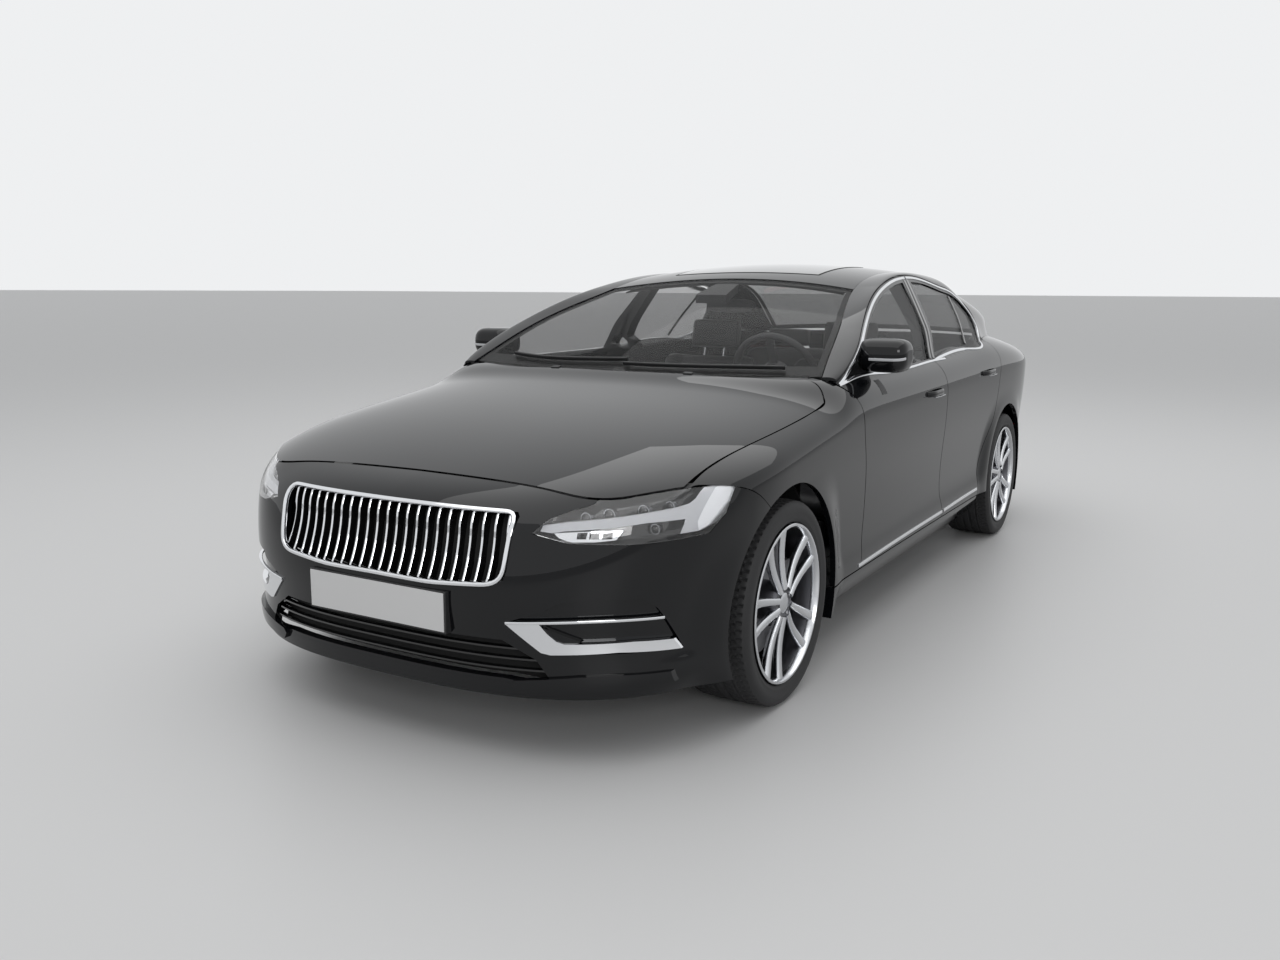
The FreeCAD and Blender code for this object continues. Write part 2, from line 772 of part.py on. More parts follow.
def make_hood():
    outer = hood_region(shut_gap, shut_gap)
    inner = hood_region(6 * shut_gap, 6 * shut_gap)
    return walled(top_sheet(outer, rolled), top_sheet(inner, rolled, lid_wall), 29, 22)


def make_cowl():
    """Panel between the hood's rear edge and the foot of the windscreen."""
    places = [(hood_rear[2][0] - shut_gap, hood_rear[2][1])] + hood_rear[3:]
    rear_edge = path([(-x, s) for x, s in places] + places[-2::-1])

    def point(a, b, depth):
        x, s = rear_edge(a)
        q = x / edge_line(station(screen_foot_share))
        foot = station(screen_foot_share) + screen_sweep_share * height * q * q + 2 * panel_wall
        near = rolled(s, x) - panel_wall / 2
        glass_edge = foot - 2 * panel_wall
        under = roof_height(glass_edge, x) - glass_inset / 2 - glass_wall - 2 * close_gap
        fall = (near - under) / (glass_edge - s - shut_gap)
        here = mix(s + shut_gap, foot, b)
        return spot(x, here, near - fall * (here - s - shut_gap) - depth)

    return walled(lambda a, b: point(a, b, 0), lambda a, b: point(a, b, panel_wall / 2), 20, 5)


def make_fender():
    edge = sampled(hood_side) + sampled(hood_rear[:3], 6)[1:]
    top = [top_spot(s, x) for x, s in edge]
    rear_top = side_spot(door_front[-1][0] - shut_gap, door_front[-1][1])
    top.append((rear_top[0], top[-1][1]))
    foot = side_spot(bumper_side[-1][0], door_bottom)
    seam = [nose_top_curve(mix(1, nose_corner, i / 10)) for i in range(10)]
    left_points = [foot] + [(around(x, s), section_level(s, z)) for x, s, z in seam] + [top[0]]
    right_points = [side_spot(s, z) for s, z in moved(sampled(door_front), -shut_gap)] + [top[-1]]
    middle = side_spot(mix(bumper_side[-1][0], door_front[0][0], 0.5), door_bottom)
    region = patch(path([foot, middle, right_points[0]]), path(top), path(left_points), path(right_points))
    wide = door_front[0][0] - bumper_side[0][0]
    inner = shrunk(region, panel_wall / wide, 0, 0, panel_wall / (4 * height))
    shell = walled(body_sheet(region), body_sheet(inner, panel_wall), 30, 22)
    return shell.cut(crosswise(arch_radius, front_overhang, hub_height, 0, 2 * half_width))


# Doors and side windows


def door_thickness(s, z):
    """Depth of a door: full below the belt, a slim frame above it."""
    belt = belt_line(s)
    t = min(1.0, max(0.0, (z - belt + frame_depth) / (2 * frame_depth)))
    return mix(door_depth, frame_depth, t * t * (3 - 2 * t))


def door_inner(region):
    def point(a, b):
        s, z = region(a, b)
        return spot(side_x(s, z) - door_thickness(s, z), s, z)

    return point


def front_door_region():
    top = along_upper(door_front[-1][0], door_split[-1][0], 0)
    bottom = [door_front[0], door_split[0]]
    return patch(path(bottom), path(top), path(door_front), path(door_split))


def rear_door_region():
    left = moved(door_split, shut_gap)
    top = along_upper(left[-1][0], upper_tip[0], 0)
    top[-1] = upper_tip
    bottom = [left[0], door_rear[0]]
    return patch(path(bottom), path(top), path(left), path(door_rear))


pane_margin = 34.0


def front_window_region():
    foot = side_places(window_foot_shares)
    top = along_upper(foot[0][0] + 0.8 * pane_margin, door_split[-1][0] - 2 * pane_margin, 0.8 * pane_margin)
    right = [(foot[-1][0] - pane_margin, foot[-1][1]), (top[-1][0], top[-1][1])]
    bottom = foot[:-1] + [right[0]]
    return patch(path(bottom), path(top), path([bottom[0], top[0]]), path(right))


def rear_window_region():
    foot = side_places(rear_window_foot_shares)
    split = door_split[-1][0]
    top = along_upper(split + 2 * pane_margin, upper_tip[0] - 1.6 * pane_margin, 0.8 * pane_margin)
    bottom = [(foot[0][0] + pane_margin, foot[0][1])] + foot[1:3] + [(foot[3][0] - pane_margin, foot[3][1])]
    right = [bottom[-1], top[-1]]
    return patch(path(bottom), path(top), path([bottom[0], top[0]]), path(right))


def region_block(region, count=16):
    """Block across the car over a (station, height) region's outline."""
    steps = [i / (count - 1) for i in range(count)]
    sides = [[region(t, 0) for t in steps], [region(1, t) for t in steps],
             [region(1 - t, 1) for t in steps], [region(0, 1 - t) for t in steps]]
    edges = []
    for side in sides:
        curve = Part.BSplineCurve()
        curve.interpolate([spot(0, s, z) for s, z in side])
        edges.append(curve.toShape())
    return Part.Face(Part.Wire(edges)).extrude(FreeCAD.Vector(2 * half_width, 0, 0))


def make_pane(region):
    wide = region(1, 0)[0] - region(0, 0)[0]
    high = region(0.5, 1)[1] - region(0.5, 0)[1]
    edge_a, edge_b = glass_gap / wide, glass_gap / high
    inner = shrunk(region, edge_a, edge_a, edge_b, edge_b)
    return walled(side_sheet(inner, glass_inset), side_sheet(inner, glass_inset + glass_wall), 18, 10)


def make_door(region, window):
    start, end = region(0, 0), region(1, 0)
    wide = end[0] - start[0]
    inset = door_taper / wide
    inner = shrunk(region, inset, inset, inset, inset / 2)
    shell = walled(side_sheet(region), door_inner(inner), 26, 40)
    return shell.cut(region_block(window))


handle_length = 190.0
handle_height = 26.0
handle_stand = 16.0


def make_handle(s, z):
    """Pull handle standing off the door on its two feet."""
    x, grip, stand = side_x(s, z), handle_height, handle_stand
    front, back = s - handle_length / 2, s + handle_length / 2
    bow = [(x - stand / 2, front), (x + stand, front + grip), (x + stand, back - grip), (x - stand / 2, back),
           (x - stand / 2, back - grip), (x + stand / 3, back - 1.6 * grip),
           (x + stand / 3, front + 1.6 * grip), (x - stand / 2, front + grip)]
    return plan_prism(bow, z - handle_height / 2, z + handle_height / 2)


handle_shares = [(1.5171, 0.614), (1.8313, 0.6355)]

# Mirrors

mirror_shares = (1.30, 0.745)
mirror_width = 190.0
mirror_height = 128.0
mirror_depth = 150.0
mirror_stalk = 46.0
mirror_reach_share = 1.0745


def make_mirror():
    """Rounded housing on a foot that stands on the door's shoulder."""
    s, z = station(mirror_shares[0]), mirror_shares[1] * height
    tip = mirror_reach_share * half_width

    def shell(a, b):
        round_share = math.sqrt(max(0.0, 1 - (2 * a - 1) ** 4))
        angle = 2 * math.pi * b
        power = 0.7
        ca, sa = math.cos(angle), math.sin(angle)
        dy = math.copysign(abs(ca) ** power, ca) * mirror_depth / 2 * (0.55 + 0.45 * round_share)
        dz = math.copysign(abs(sa) ** power, sa) * mirror_height / 2 * (0.6 + 0.4 * round_share)
        return spot(mix(tip - mirror_width, tip, a), s + dy, z + dz)

    rings = []
    count = 7
    for i in range(count):
        a = i / (count - 1)
        curve = Part.BSplineCurve()
        curve.interpolate([shell(a, k / 16) for k in range(16)], True)
        rings.append(Part.Wire([curve.toShape()]))
    housing = Part.makeLoft(rings, True, False)
    foot_z = belt_line(s)
    foot_x = side_x(s, foot_z - mirror_stalk)
    middle = tip - mirror_width / 2
    rise = [(foot_x + close_gap, foot_z - 1.4 * mirror_stalk), (middle, z - mirror_height / 3),
            (middle, z), (foot_x + mirror_stalk / 3, foot_z + mirror_stalk / 2)]
    stalk = front_prism(rise, s - mirror_stalk / 2, s + mirror_stalk / 2)
    door = front_door_region()
    door_side = walled(side_sheet(door, -glass_gap), side_sheet(door, door_depth), 26, 40)
    return housing.fuse(stalk).cut(door_side)


# Side frame: roof rail, centre post, sill and hinge post


def rail_point(s, b, depth=0.0):
    """Point across the roof rail from the window line to the roof's edge."""
    z0 = upper_line(s) + shut_gap
    x0 = glass_width(s, z0)
    x1 = edge_line(s)
    z1 = roof_height(s, x1)
    top = max(z0, z1) + shut_gap
    corner = (glass_width(s, top), top)
    keep = 0.35
    one = (mix(corner[0], x0, keep), mix(corner[1], z0, keep))
    two = (mix(corner[0], x1, keep), mix(corner[1], z1, keep))
    weights = [(1 - b) ** 3, 3 * b * (1 - b) ** 2, 3 * b * b * (1 - b), b ** 3]
    x = weights[0] * x0 + weights[1] * one[0] + weights[2] * two[0] + weights[3] * x1
    z = weights[0] * z0 + weights[1] * one[1] + weights[2] * two[1] + weights[3] * z1
    angle = math.pi / 2 * b ** 2
    return spot(x - depth * math.cos(angle), s, z - depth * math.sin(angle))


rail_start_share = 1.191
rail_inner_share = 0.006


def make_side_frame():
    start, end = station(rail_start_share), upper_tip[0] + shut_gap - close_gap
    inner = 1 - rail_inner_share
    rail = walled(lambda a, b: rail_point(mix(start, end, a), inner * b),
                  lambda a, b: rail_point(mix(start, end, a), inner * b, panel_wall), 40, 8)
    sill_start, sill_end = front_overhang + arch_radius - 2 * panel_wall, door_rear[0][0] - close_gap
    sill_top = door_bottom - shut_gap

    def sill_face(a, b):
        s, z = mix(sill_start, sill_end, a), mix(sill_bottom, sill_top, b)
        return spot(side_width(s, z), s, z)

    def sill_back(a, b):
        return spot(sill_inner, mix(sill_start, sill_end, a), mix(sill_bottom, sill_top, b))

    sill = walled(sill_face, sill_back, 20, 6)
    sill = sill.cut(crosswise(arch_radius, front_overhang, hub_height, 0, 2 * half_width))
    front = door_front[0][0]
    hinge_face = side_width(front, door_bottom) - 3 * panel_wall
    hinge = side_prism([(front - 3.2 * post_depth, sill_top - post_depth),
                        (front - 1.2 * post_depth, sill_top - post_depth),
                        (door_front[-1][0] - shut_gap, belt_line(start) - post_depth),
                        (door_front[-1][0] - 2.6 * post_depth, belt_line(start) - 2 * post_depth)],
                       sill_inner, hinge_face)
    pieces = [sill, make_post(), hinge]
    for s in (front_overhang + arch_radius + pad_inset, sill_end - pad_inset):
        pieces.append(Part.makeBox(pad_width, pad_length, 2 * pad_drop,
                                   spot(sill_inner + panel_wall, s - pad_length / 2, sill_bottom - pad_drop)))
    return rail.fuse(pieces)


def make_post():
    """Centre post behind the doors' inner faces, from the sill up to the rail."""
    middle = door_split[0][0]
    s0, s1 = middle - post_depth, middle + post_depth

    def face(a, b, depth):
        z = mix(door_bottom - 2 * post_depth, upper_line(middle), b)
        lean = (door_split[-1][0] - middle) * max(0.0, (z - belt_line(middle)) / height) * 2
        inset = door_thickness(middle, z - 1.5 * frame_depth) + 2 * shut_gap
        return spot(side_x(middle, max(z, door_bottom)) - inset - depth, mix(s0, s1, a) + lean, z)

    return walled(lambda a, b: face(a, b, 0), lambda a, b: face(a, b, post_depth), 4, 24)


# Roof and glass


def roof_rows(front_share, front_sweep, rear_share, rear_sweep, side_gap):
    def region(a, b):
        q = 2 * a - 1
        s0 = station(front_share) + front_sweep * height * q * q
        s1 = station(rear_share) + rear_sweep * height * q * q
        s = mix(s0, s1, b)
        return q * (edge_line(s) - side_gap), s

    return region


header_share, header_sweep_share = 1.494, -0.045
back_share, back_sweep_share = 1.912, -0.03
screen_foot_share, screen_sweep_share = 1.166, 0.062
back_foot_share, back_foot_sweep_share = 2.512, -0.055
seam_share = 0.002


def make_roof():
    region = roof_rows(header_share, header_sweep_share, back_share, back_sweep_share, close_gap)
    return walled(top_sheet(region, roof_height), top_sheet(region, roof_height, panel_wall), 24, 24)


def make_screen(first, first_sweep, last, last_sweep):
    region = roof_rows(first, first_sweep, last, last_sweep, shut_gap)
    return walled(top_sheet(region, roof_height, glass_inset / 2),
                  top_sheet(region, roof_height, glass_inset / 2 + glass_wall), 24, 24)


# Rear end

lid_side_shares = [(0.735, 2.535), (0.70, 2.72), (0.655, 2.86), (0.63, 2.9)]
lid_foot_share = 0.50
lid_gap_share = 0.006
tail_join_share = 0.694


def tail_turn(x, z):
    """Angle round the tail of a half-width place at a height."""
    low, high = 0.0, math.pi / 2
    for step in range(30):
        middle = (low + high) / 2
        here = tail_wrap(middle, z)
        if here[0] > x:
            low = middle
        else:
            high = middle
    return (low + high) / 2


def tail_wrap(turn, z):
    """Point of the tail's face at an angle round it and a height."""
    m = rear_axle + half_width * turn
    s = rear_axle + rear_overhang * math.sin(turn)
    for step in range(2):
        here = body_point(m, section_level(s, z))
        s = here[1]
    return here[0], here[1], z


def quarter_region():
    upright = [(s, z) for s, z in sampled(door_rear, 24) if z < belt_line(s) - 3 * panel_wall / 4]
    left = [side_spot(s, z) for s, z in moved(upright, shut_gap)]
    start = min(sampled(door_rear, 60), key=lambda p: abs(p[1] - belt_line(p[0])))[0] + shut_gap
    seam = [side_spot(s, belt_line(s) - close_gap) for s in
            [mix(start, station(2.5), i / 5) for i in range(6)]]
    lid = [top_spot(s, x) for x, s in plan_places(lid_side_shares)]
    left.append(seam[0])
    top = seam[:-1] + lid
    end = lid[-1][0]
    foot = section_level(rear_axle, door_bottom)
    right = [(end, foot), (end, mix(foot, height, 0.6)), lid[-1]]
    bottom = [left[0], (mix(left[0][0], end, 0.5), foot), right[0]]
    return patch(path(bottom), path(top), path(left), path(right))


def quarter_end_turn():
    """Angle round the tail at which the quarter panel ends beside the lid."""
    x, s = plan_places(lid_side_shares)[-1]
    return (top_spot(s, x)[0] - rear_axle) / half_width


bumper_line_shares = [(2.1, 0.375), (2.28, 0.40), (2.45, 0.455), (2.72, 0.468), (3.2, 0.47)]


def bumper_line():
    """Side outline above the rear bumper: (station, height) from the arch to the tail."""
    return side_places(bumper_line_shares)


def make_quarter():
    region = quarter_region()
    inner = shrunk(region, 0, panel_wall / (length - rear_axle), 0, 0)
    lower = walled(body_sheet(region), body_sheet(inner, panel_wall), 34, 24)
    lower = lower.cut(crosswise(rear_arch_radius, rear_axle, hub_height, 0, 2 * half_width))
    line = bumper_line()
    under = line + [(line[-1][0], -overrun), (line[0][0], -overrun)]
    lower = lower.cut(side_prism(under, 0, 2 * half_width))
    lamp = front_prism(shares_outline(tail_lamp_shares), station(lamp_start_share), length + overrun)
    lower = lower.cut(lamp)
    s0, s1 = upper_tip[0] + shut_gap, station(2.5)

    def sail(a, b, depth):
        s = mix(s0, s1, a)
        z = mix(belt_line(s) + close_gap, rail_top(s), b)
        return spot(mix(glass_width(s, z), edge_line(s), b ** 6), s, z) + inward(depth, b)

    upper = walled(lambda a, b: sail(a, b, 0), lambda a, b: sail(a, b, panel_wall), 16, 14)
    return Part.makeCompound([lower, upper])


def rail_top(s):
    return roof_height(s, edge_line(s))


tail_lamp_shares = [(0.66, 0.598), (1.05, 0.585), (1.05, 0.535), (0.66, 0.545)]
lamp_start_share = 2.6


def turn_sheet(depth, turn0, turn1, z_low, z_high, low_end=0.0, high_end=0.0):
    """Sheet round the tail between two angles, full width when they are opposite."""
    def point(a, b):
        turn = mix(turn0, turn1, a)
        around_share = abs(turn) / (math.pi / 2)
        z = mix(z_low + low_end * (1 - around_share), z_high + high_end * (1 - around_share), b)
        here = tail_wrap(math.pi / 2 - abs(turn), z)
        away = math.hypot(here[0], here[1] - rear_axle)
        x = here[0] - depth * here[0] / away
        s = here[1] - depth * (here[1] - rear_axle) / away
        return spot(math.copysign(x, turn), s, z)

    return point


def make_rear_bumper():
    side = math.pi / 2 - 0.25
    top = lid_foot_share * height - shut_gap
    shell = walled(turn_sheet(0, -side, side, sill_bottom, top),
                   turn_sheet(bumper_wall, -side, side, sill_bottom, top), 41, 14)
    for sign in (-1, 1):
        x = sign * tip_offset
        wide, low, high = 2.6 * pipe_radius, tip_height - 2 * pipe_radius, tip_height + 2 * pipe_radius
        hole = [(x - wide, low), (x + wide, low), (x + wide * 0.8, high), (x - wide * 0.8, high)]
        shell = shell.cut(front_prism(hole, length - 2 * overrun, length + overrun))
    line = bumper_line()
    over = moved(line, 0, -close_gap) + [(line[-1][0], height), (line[0][0], height)]
    beside = tail_wrap(quarter_end_turn(), top)[0] - close_gap
    outside = side_prism(over, beside, 2 * half_width)
    shell = shell.cut(outside).cut(mirrored(outside))
    return shell.cut(crosswise(rear_arch_radius, rear_axle, hub_height, -2 * half_width, 2 * half_width))


def make_tail_lamp():
    block = walled(turn_sheet(close_gap, 0.2, 1.3, 0.52 * height, 0.62 * height),
                   turn_sheet(bumper_wall, 0.2, 1.3, 0.52 * height, 0.62 * height), 24, 8)
    outline = scaled_outline(shares_outline(tail_lamp_shares), -close_gap)
    return block.common(front_prism(outline, station(lamp_start_share) + close_gap, length + overrun))


def lid_edge(b):
    """Half-width place of the lid's side edge from the glass to the tail."""
    places = plan_places(lid_side_shares)
    return path(places)(b)


lid_corner_share = 0.55
lid_lean_share = 0.6


def make_trunk_lid():
    """Lid with its deck and its upright rear face in one curved panel."""
    def point(a, b, depth, trim):
        q = 2 * a - 1
        if b <= lid_corner_share:
            r = b / lid_corner_share
            x, s = lid_edge(mix(trim, 1, r))
            front = station(back_foot_share) + (back_foot_sweep_share * q * q + lid_gap_share) * height
            deck_end = tail_wrap(tail_turn(abs(q) * x, tail_join_share * height), tail_join_share * height)[1]
            s_here = mix(front + trim * height, deck_end, r)
            x_here = q * (min(x, edge_line(s_here)) - shut_gap - depth * lid_lean_share)
            z = rolled(s_here, x_here)
            end_z = tail_join_share * height
            z = mix(z, min(z, end_z), max(0.0, (r - 0.8) / 0.2) ** 2)
            return spot(x_here, s_here - depth * r * 0.7, z - depth)
        r = (b - lid_corner_share) / (1 - lid_corner_share)
        z = mix(tail_join_share * height, lid_foot_share * height, r)
        x_edge = lid_edge(1)[0] * mix(1, 0.88, r)
        x_here = q * (x_edge - shut_gap - depth * lid_lean_share)
        here = tail_wrap(tail_turn(abs(x_here), z), z)
        return spot(x_here, here[1] - depth, mix(z - depth * 0.5, z + depth * 0.3, r))

    return walled(lambda a, b: point(a, b, 0, 0.0), lambda a, b: point(a, b, lid_wall, 0.02), 22, 30)


# Floor, subframes and machinery


floor_place_shares = (1.17, 1.17, 1.235, 1.765, 1.785, 1.96, 1.985, 2.2, 2.25, 2.86, 2.86)
boot_corner_share, boot_end_share = 2.40, 0.42
tunnel_width = 180.0
tunnel_height = 170.0


def floor_line():
    """Side outline of the floor's underside from the bulkhead to the tail."""
    levels = (bulkhead_height, toe_height, floor_height, floor_height, kick_height, bench_floor_height,
              axle_floor_height, axle_floor_height, boot_height, boot_height, axle_floor_height)
    return [(station(unit), z) for unit, z in zip(floor_place_shares, levels)]


def floor_under(s):
    """Height of the floor's underside at a station."""
    points = floor_line()
    for near, far in zip(points, points[1:]):
        if near[0] <= s < far[0]:
            return mix(near[1], far[1], (s - near[0]) / (far[0] - near[0]))


def make_floor():
    """Pressed floor from the bulkhead to the tail, with its tunnel."""
    points = floor_line()
    wide = sill_inner - close_gap
    floor = side_prism(band(points, floor_wall), -wide, wide)
    for sign in (-1, 1):
        for s, inner, radius in ((rear_axle, rear_liner_inner, rear_liner_radius),
                                 (front_overhang, liner_inner, liner_radius)):
            ends = sorted([sign * (inner - close_gap), sign * 2 * half_width])
            floor = floor.cut(crosswise(radius + liner_wall + close_gap, s, hub_height, *ends))
        corner = [(sign * half_width, station(boot_corner_share)), (sign * half_width, length),
                  (sign * boot_end_share * half_width, length)]
        floor = floor.cut(plan_prism(corner, 0, height))
    top, half, slope = floor_height + tunnel_height, tunnel_width / 2, tunnel_width / 3
    front, rear = points[2][0] - 4 * pipe_radius, points[3][0]
    low = floor_height
    tunnel = front_prism([(-half, low), (-slope, top), (slope, top), (half, low)], front, rear)
    half, slope, roof = half - floor_wall, slope - floor_wall, top - floor_wall
    outline = [(-half, 0), (-half, low), (-slope, roof), (slope, roof), (half, low), (half, 0)]
    hollow = front_prism(outline, front - 4 * pipe_radius, rear + floor_wall)
    return floor.fuse(tunnel).cut(hollow)


def make_engine():
    s = front_overhang - engine_length * 0.45
    return Part.makeBox(engine_width, engine_length, engine_height, spot(-engine_width / 2, s, engine_bottom))


rail_width = 60.0
beam_height = 70.0
case_radius = 92.0
frame_bottom = 175.0


def make_front_subframe():
    """Two rails, three cross beams, feet under the floor and the lower arms with their eyes."""
    s0, s1 = front_overhang - 6 * post_depth, front_overhang + 6.6 * post_depth
    inner = engine_width / 2 - rail_width / 2
    side = Part.makeBox(rail_width, s1 - s0, beam_height, spot(inner, s0, frame_bottom))
    foot = Part.makeBox(rail_width, station(floor_place_shares[2]) + 2 * rail_width - s1 + rail_width,
                        floor_height - close_gap - frame_bottom, spot(inner, s1 - rail_width, frame_bottom))
    pieces = [mirrored(side), foot, mirrored(foot)]
    for s in (s0, front_overhang - rail_width / 2, s1 - rail_width):
        pieces.append(Part.makeBox(2 * inner, rail_width, beam_height, spot(-inner, s, frame_bottom)))
    end, low = track / 2 - steer_inset, frame_bottom + beam_height / 3
    root, front = inner + rail_width / 2, front_overhang
    arm = plan_prism([(root, front - rail_width), (end, front - pivot_radius), (end, front + pivot_radius),
                      (root, front + 2 * rail_width)], low, low + beam_height / 3)
    eye = Part.makeCylinder(2 * pivot_radius, beam_height / 3, spot(end, front, low))
    hole = Part.makeCylinder(pivot_radius + bearing_gap, beam_height, spot(end, front, frame_bottom))
    arm = arm.fuse(eye).cut(hole)
    return side.fuse(pieces + [arm, mirrored(arm)])


def make_rear_subframe():
    """Two rails, two cross beams, mounts, drive case, half shafts and the rear carriers."""
    inner = rear_liner_inner - rail_width - liner_wall
    s0, s1 = rear_axle - 3 * rail_width, rear_axle + 3 * rail_width
    low = hub_height - beam_height
    rail = Part.makeBox(rail_width, s1 - s0, beam_height, spot(inner - rail_width, s0, low))
    pieces = [mirrored(rail)]
    for s in (s0, s1 - rail_width):
        pieces.append(Part.makeBox(2 * inner - rail_width, rail_width, beam_height,
                                   spot(-inner + rail_width / 2, s, low)))
        rise = floor_under(s) - close_gap - low
        mount = Part.makeBox(rail_width, rail_width, rise, spot(inner - rail_width, s, low))
        pieces += [mount, mirrored(mount)]
    pieces.append(crosswise(case_radius, rear_axle, hub_height, -case_radius, case_radius))
    pieces.append(Part.makeBox(rail_width, s1 - s0 - rail_width, beam_height / 2,
                               spot(-rail_width / 2, s0 + rail_width / 2, hub_height - beam_height * 0.6)))
    hub_inner = track / 2 - stub_length
    shaft = crosswise(stub_radius / 1.4, rear_axle, hub_height, case_radius / 2, hub_inner - close_gap)
    arm = Part.makeBox(hub_inner + carrier_depth / 2 - inner + rail_width / 2, rail_width, beam_height / 2,
                       spot(inner - rail_width / 2, rear_axle - rail_width / 2, low - beam_height * 0.1))
    for piece in (shaft, make_carrier(rear_axle), arm):
        pieces += [piece, mirrored(piece)]
    return rail.fuse(pieces)


def make_carrier(s):
    """Wheel carrier with its bearing bore."""
    hub_inner = track / 2 - stub_length
    carrier = crosswise(carrier_radius, s, hub_height, hub_inner, hub_inner + carrier_depth)
    bore = stub_radius + bearing_gap
    return carrier.cut(crosswise(bore, s, hub_height, hub_inner + rim_lip, hub_inner + overrun))


def make_knuckle():
    """Front carrier with its strut foot, steering arm and brake caliper."""
    s, hub_inner = front_overhang, track / 2 - stub_length
    strut = Part.makeBox(carrier_depth / 2, rail_width, 2.2 * carrier_radius,
                         spot(hub_inner, s - rail_width / 2, hub_height + carrier_radius / 2))
    face = track / 2 - disc_offset
    ring = crosswise(disc_radius + 1.4 * rim_lip, s, hub_height, face - disc_wall, face + 2 * disc_wall)
    ring = ring.cut(crosswise(disc_radius * 0.62, s, hub_height, 0, half_width))
    slot = crosswise(disc_radius + 0.6 * rim_lip, s, hub_height, face - shut_gap, face + disc_wall + shut_gap)
    sector = Part.makeBox(6 * disc_wall, disc_radius * 2, 1.1 * disc_radius,
                          spot(face - 2 * disc_wall, s, hub_height - 0.55 * disc_radius))
    caliper = ring.cut(slot).common(sector)
    link = Part.makeBox(disc_wall * 0.8, disc_radius * 0.8, rail_width,
                        spot(face - disc_wall, s + carrier_radius / 2, hub_height - rail_width / 2))
    arm = Part.makeBox(carrier_depth / 3, 2.4 * carrier_radius, rail_width / 2,
                       spot(hub_inner, s, hub_height - carrier_radius))
    foot = frame_bottom + beam_height / 3
    pivot = Part.makeCylinder(pivot_radius, hub_height - stub_radius - rim_lip - foot,
                              spot(track / 2 - steer_inset, s, foot))
    return make_carrier(s).fuse([strut, link, caliper, arm, pivot])


silencer_length = 460.0
silencer_width = 940.0
silencer_height = 140.0
tip_offset = 400.0
tip_height = 292.0
pipe_height = 262.0
pipe_low = 212.0
pipe_dip = 162.0
pipe_side = 150.0


def tube(points, radius):
    """Round bar through points, with a ball at each bend."""
    pieces = []
    for a, b in zip(points, points[1:]):
        pieces.append(Part.makeCylinder(radius, (b - a).Length, a, b - a))
    for bend in points[1:-1]:
        pieces.append(Part.makeSphere(radius, bend))
    return pieces[0].fuse(pieces[1:])


def make_exhaust():
    """Pipe from the engine along the tunnel, silencer across the tail and two tips."""
    s = rear_axle + 1.32 * rear_arch_radius
    floor = tip_height - silencer_height / 2
    engine_end = front_overhang + engine_length * 0.55 + close_gap
    pipe = tube([spot(0, engine_end, engine_bottom + pipe_radius),
                 spot(0, engine_end + 2 * pipe_radius, engine_bottom + pipe_radius),
                 spot(0, station(1.26), pipe_height), spot(0, station(1.67), pipe_height),
                 spot(0, station(1.74), pipe_dip), spot(pipe_side / 2, station(1.765), pipe_dip),
                 spot(pipe_side, station(1.80), pipe_low), spot(pipe_side, s + rail_width, pipe_low)],
                pipe_radius * 0.9)
    backwards = FreeCAD.Vector(0, 1, 0)
    chamber = Part.makeCylinder(1.5 * pipe_radius, seat_width, spot(0, station(1.40), pipe_height), backwards)
    rise = floor_height + tunnel_height - floor_wall - close_gap - pipe_height
    hanger = Part.makeBox(pipe_radius, pipe_radius, rise, spot(-pipe_radius / 2, station(1.5), pipe_height))
    box = Part.makeBox(silencer_width, silencer_length, silencer_height, spot(-silencer_width / 2, s, floor))
    pieces = [chamber, hanger, box.makeFillet(pipe_radius, box.Edges)]
    for sign in (1, -1):
        start = spot(sign * tip_offset, s + silencer_length / 2, tip_height)
        reach = length - tip_inset - s - silencer_length / 2
        pieces.append(Part.makeCylinder(1.2 * pipe_radius, reach, start, backwards))
    return pipe.fuse(pieces)


tip_inset = 62.0
tank_length = 372.0
tank_width = 1040.0
tank_height = 84.0


def make_tank():
    """Flat tank under the rear seat, following the floor above it."""
    s0 = station(1.80)
    s1 = s0 + tank_length
    top = [floor_under(s) - close_gap for s in (s0, s1)]
    low = kick_height - tank_height
    return side_prism([(s0, low), (s1, low), (s1, top[1]), (s0, top[0])], -tank_width / 2, tank_width / 2)


def make_liner(s, inner, radius, opening):
    """Arched liner over a wheel."""
    outer = radius + liner_wall
    ring = crosswise(outer, s, hub_height, inner, opening)
    ring = ring.cut(crosswise(radius, s, hub_height, inner - overrun, opening + overrun))
    foot = door_bottom - shut_gap + close_gap
    keep = Part.makeBox(opening - inner, 2 * outer, height - foot, spot(inner, s - outer, foot))
    return ring.common(keep)


# Cabin


def seat_profile(s0, low, cushion, back, rest, lean):
    """Side outlines of a seat's cushion, back and headrest."""
    s1, z1 = s0 + cushion[0] - 0.6 * back_depth, low + cushion[1] * 0.5
    s2, z2 = s1 + back * lean, z1 + back
    tip = s2 + rest * 0.2
    seat = [(s0, low + cushion[1] * 0.35), (s0 + cushion[0] * 0.08, low + cushion[1]),
            (s0 + cushion[0], low + cushion[1] * 0.8), (s0 + cushion[0], low)]
    leaning = [(s1, z1), (s2, z2), (s2 + back_depth * 0.8, z2), (s1 + back_depth * 1.3, z1)]
    head = [(s2, z2 - close_gap), (tip, z2 + rest), (tip + headrest_depth, z2 + rest),
            (s2 + headrest_depth, z2 - close_gap)]
    return seat, leaning, head


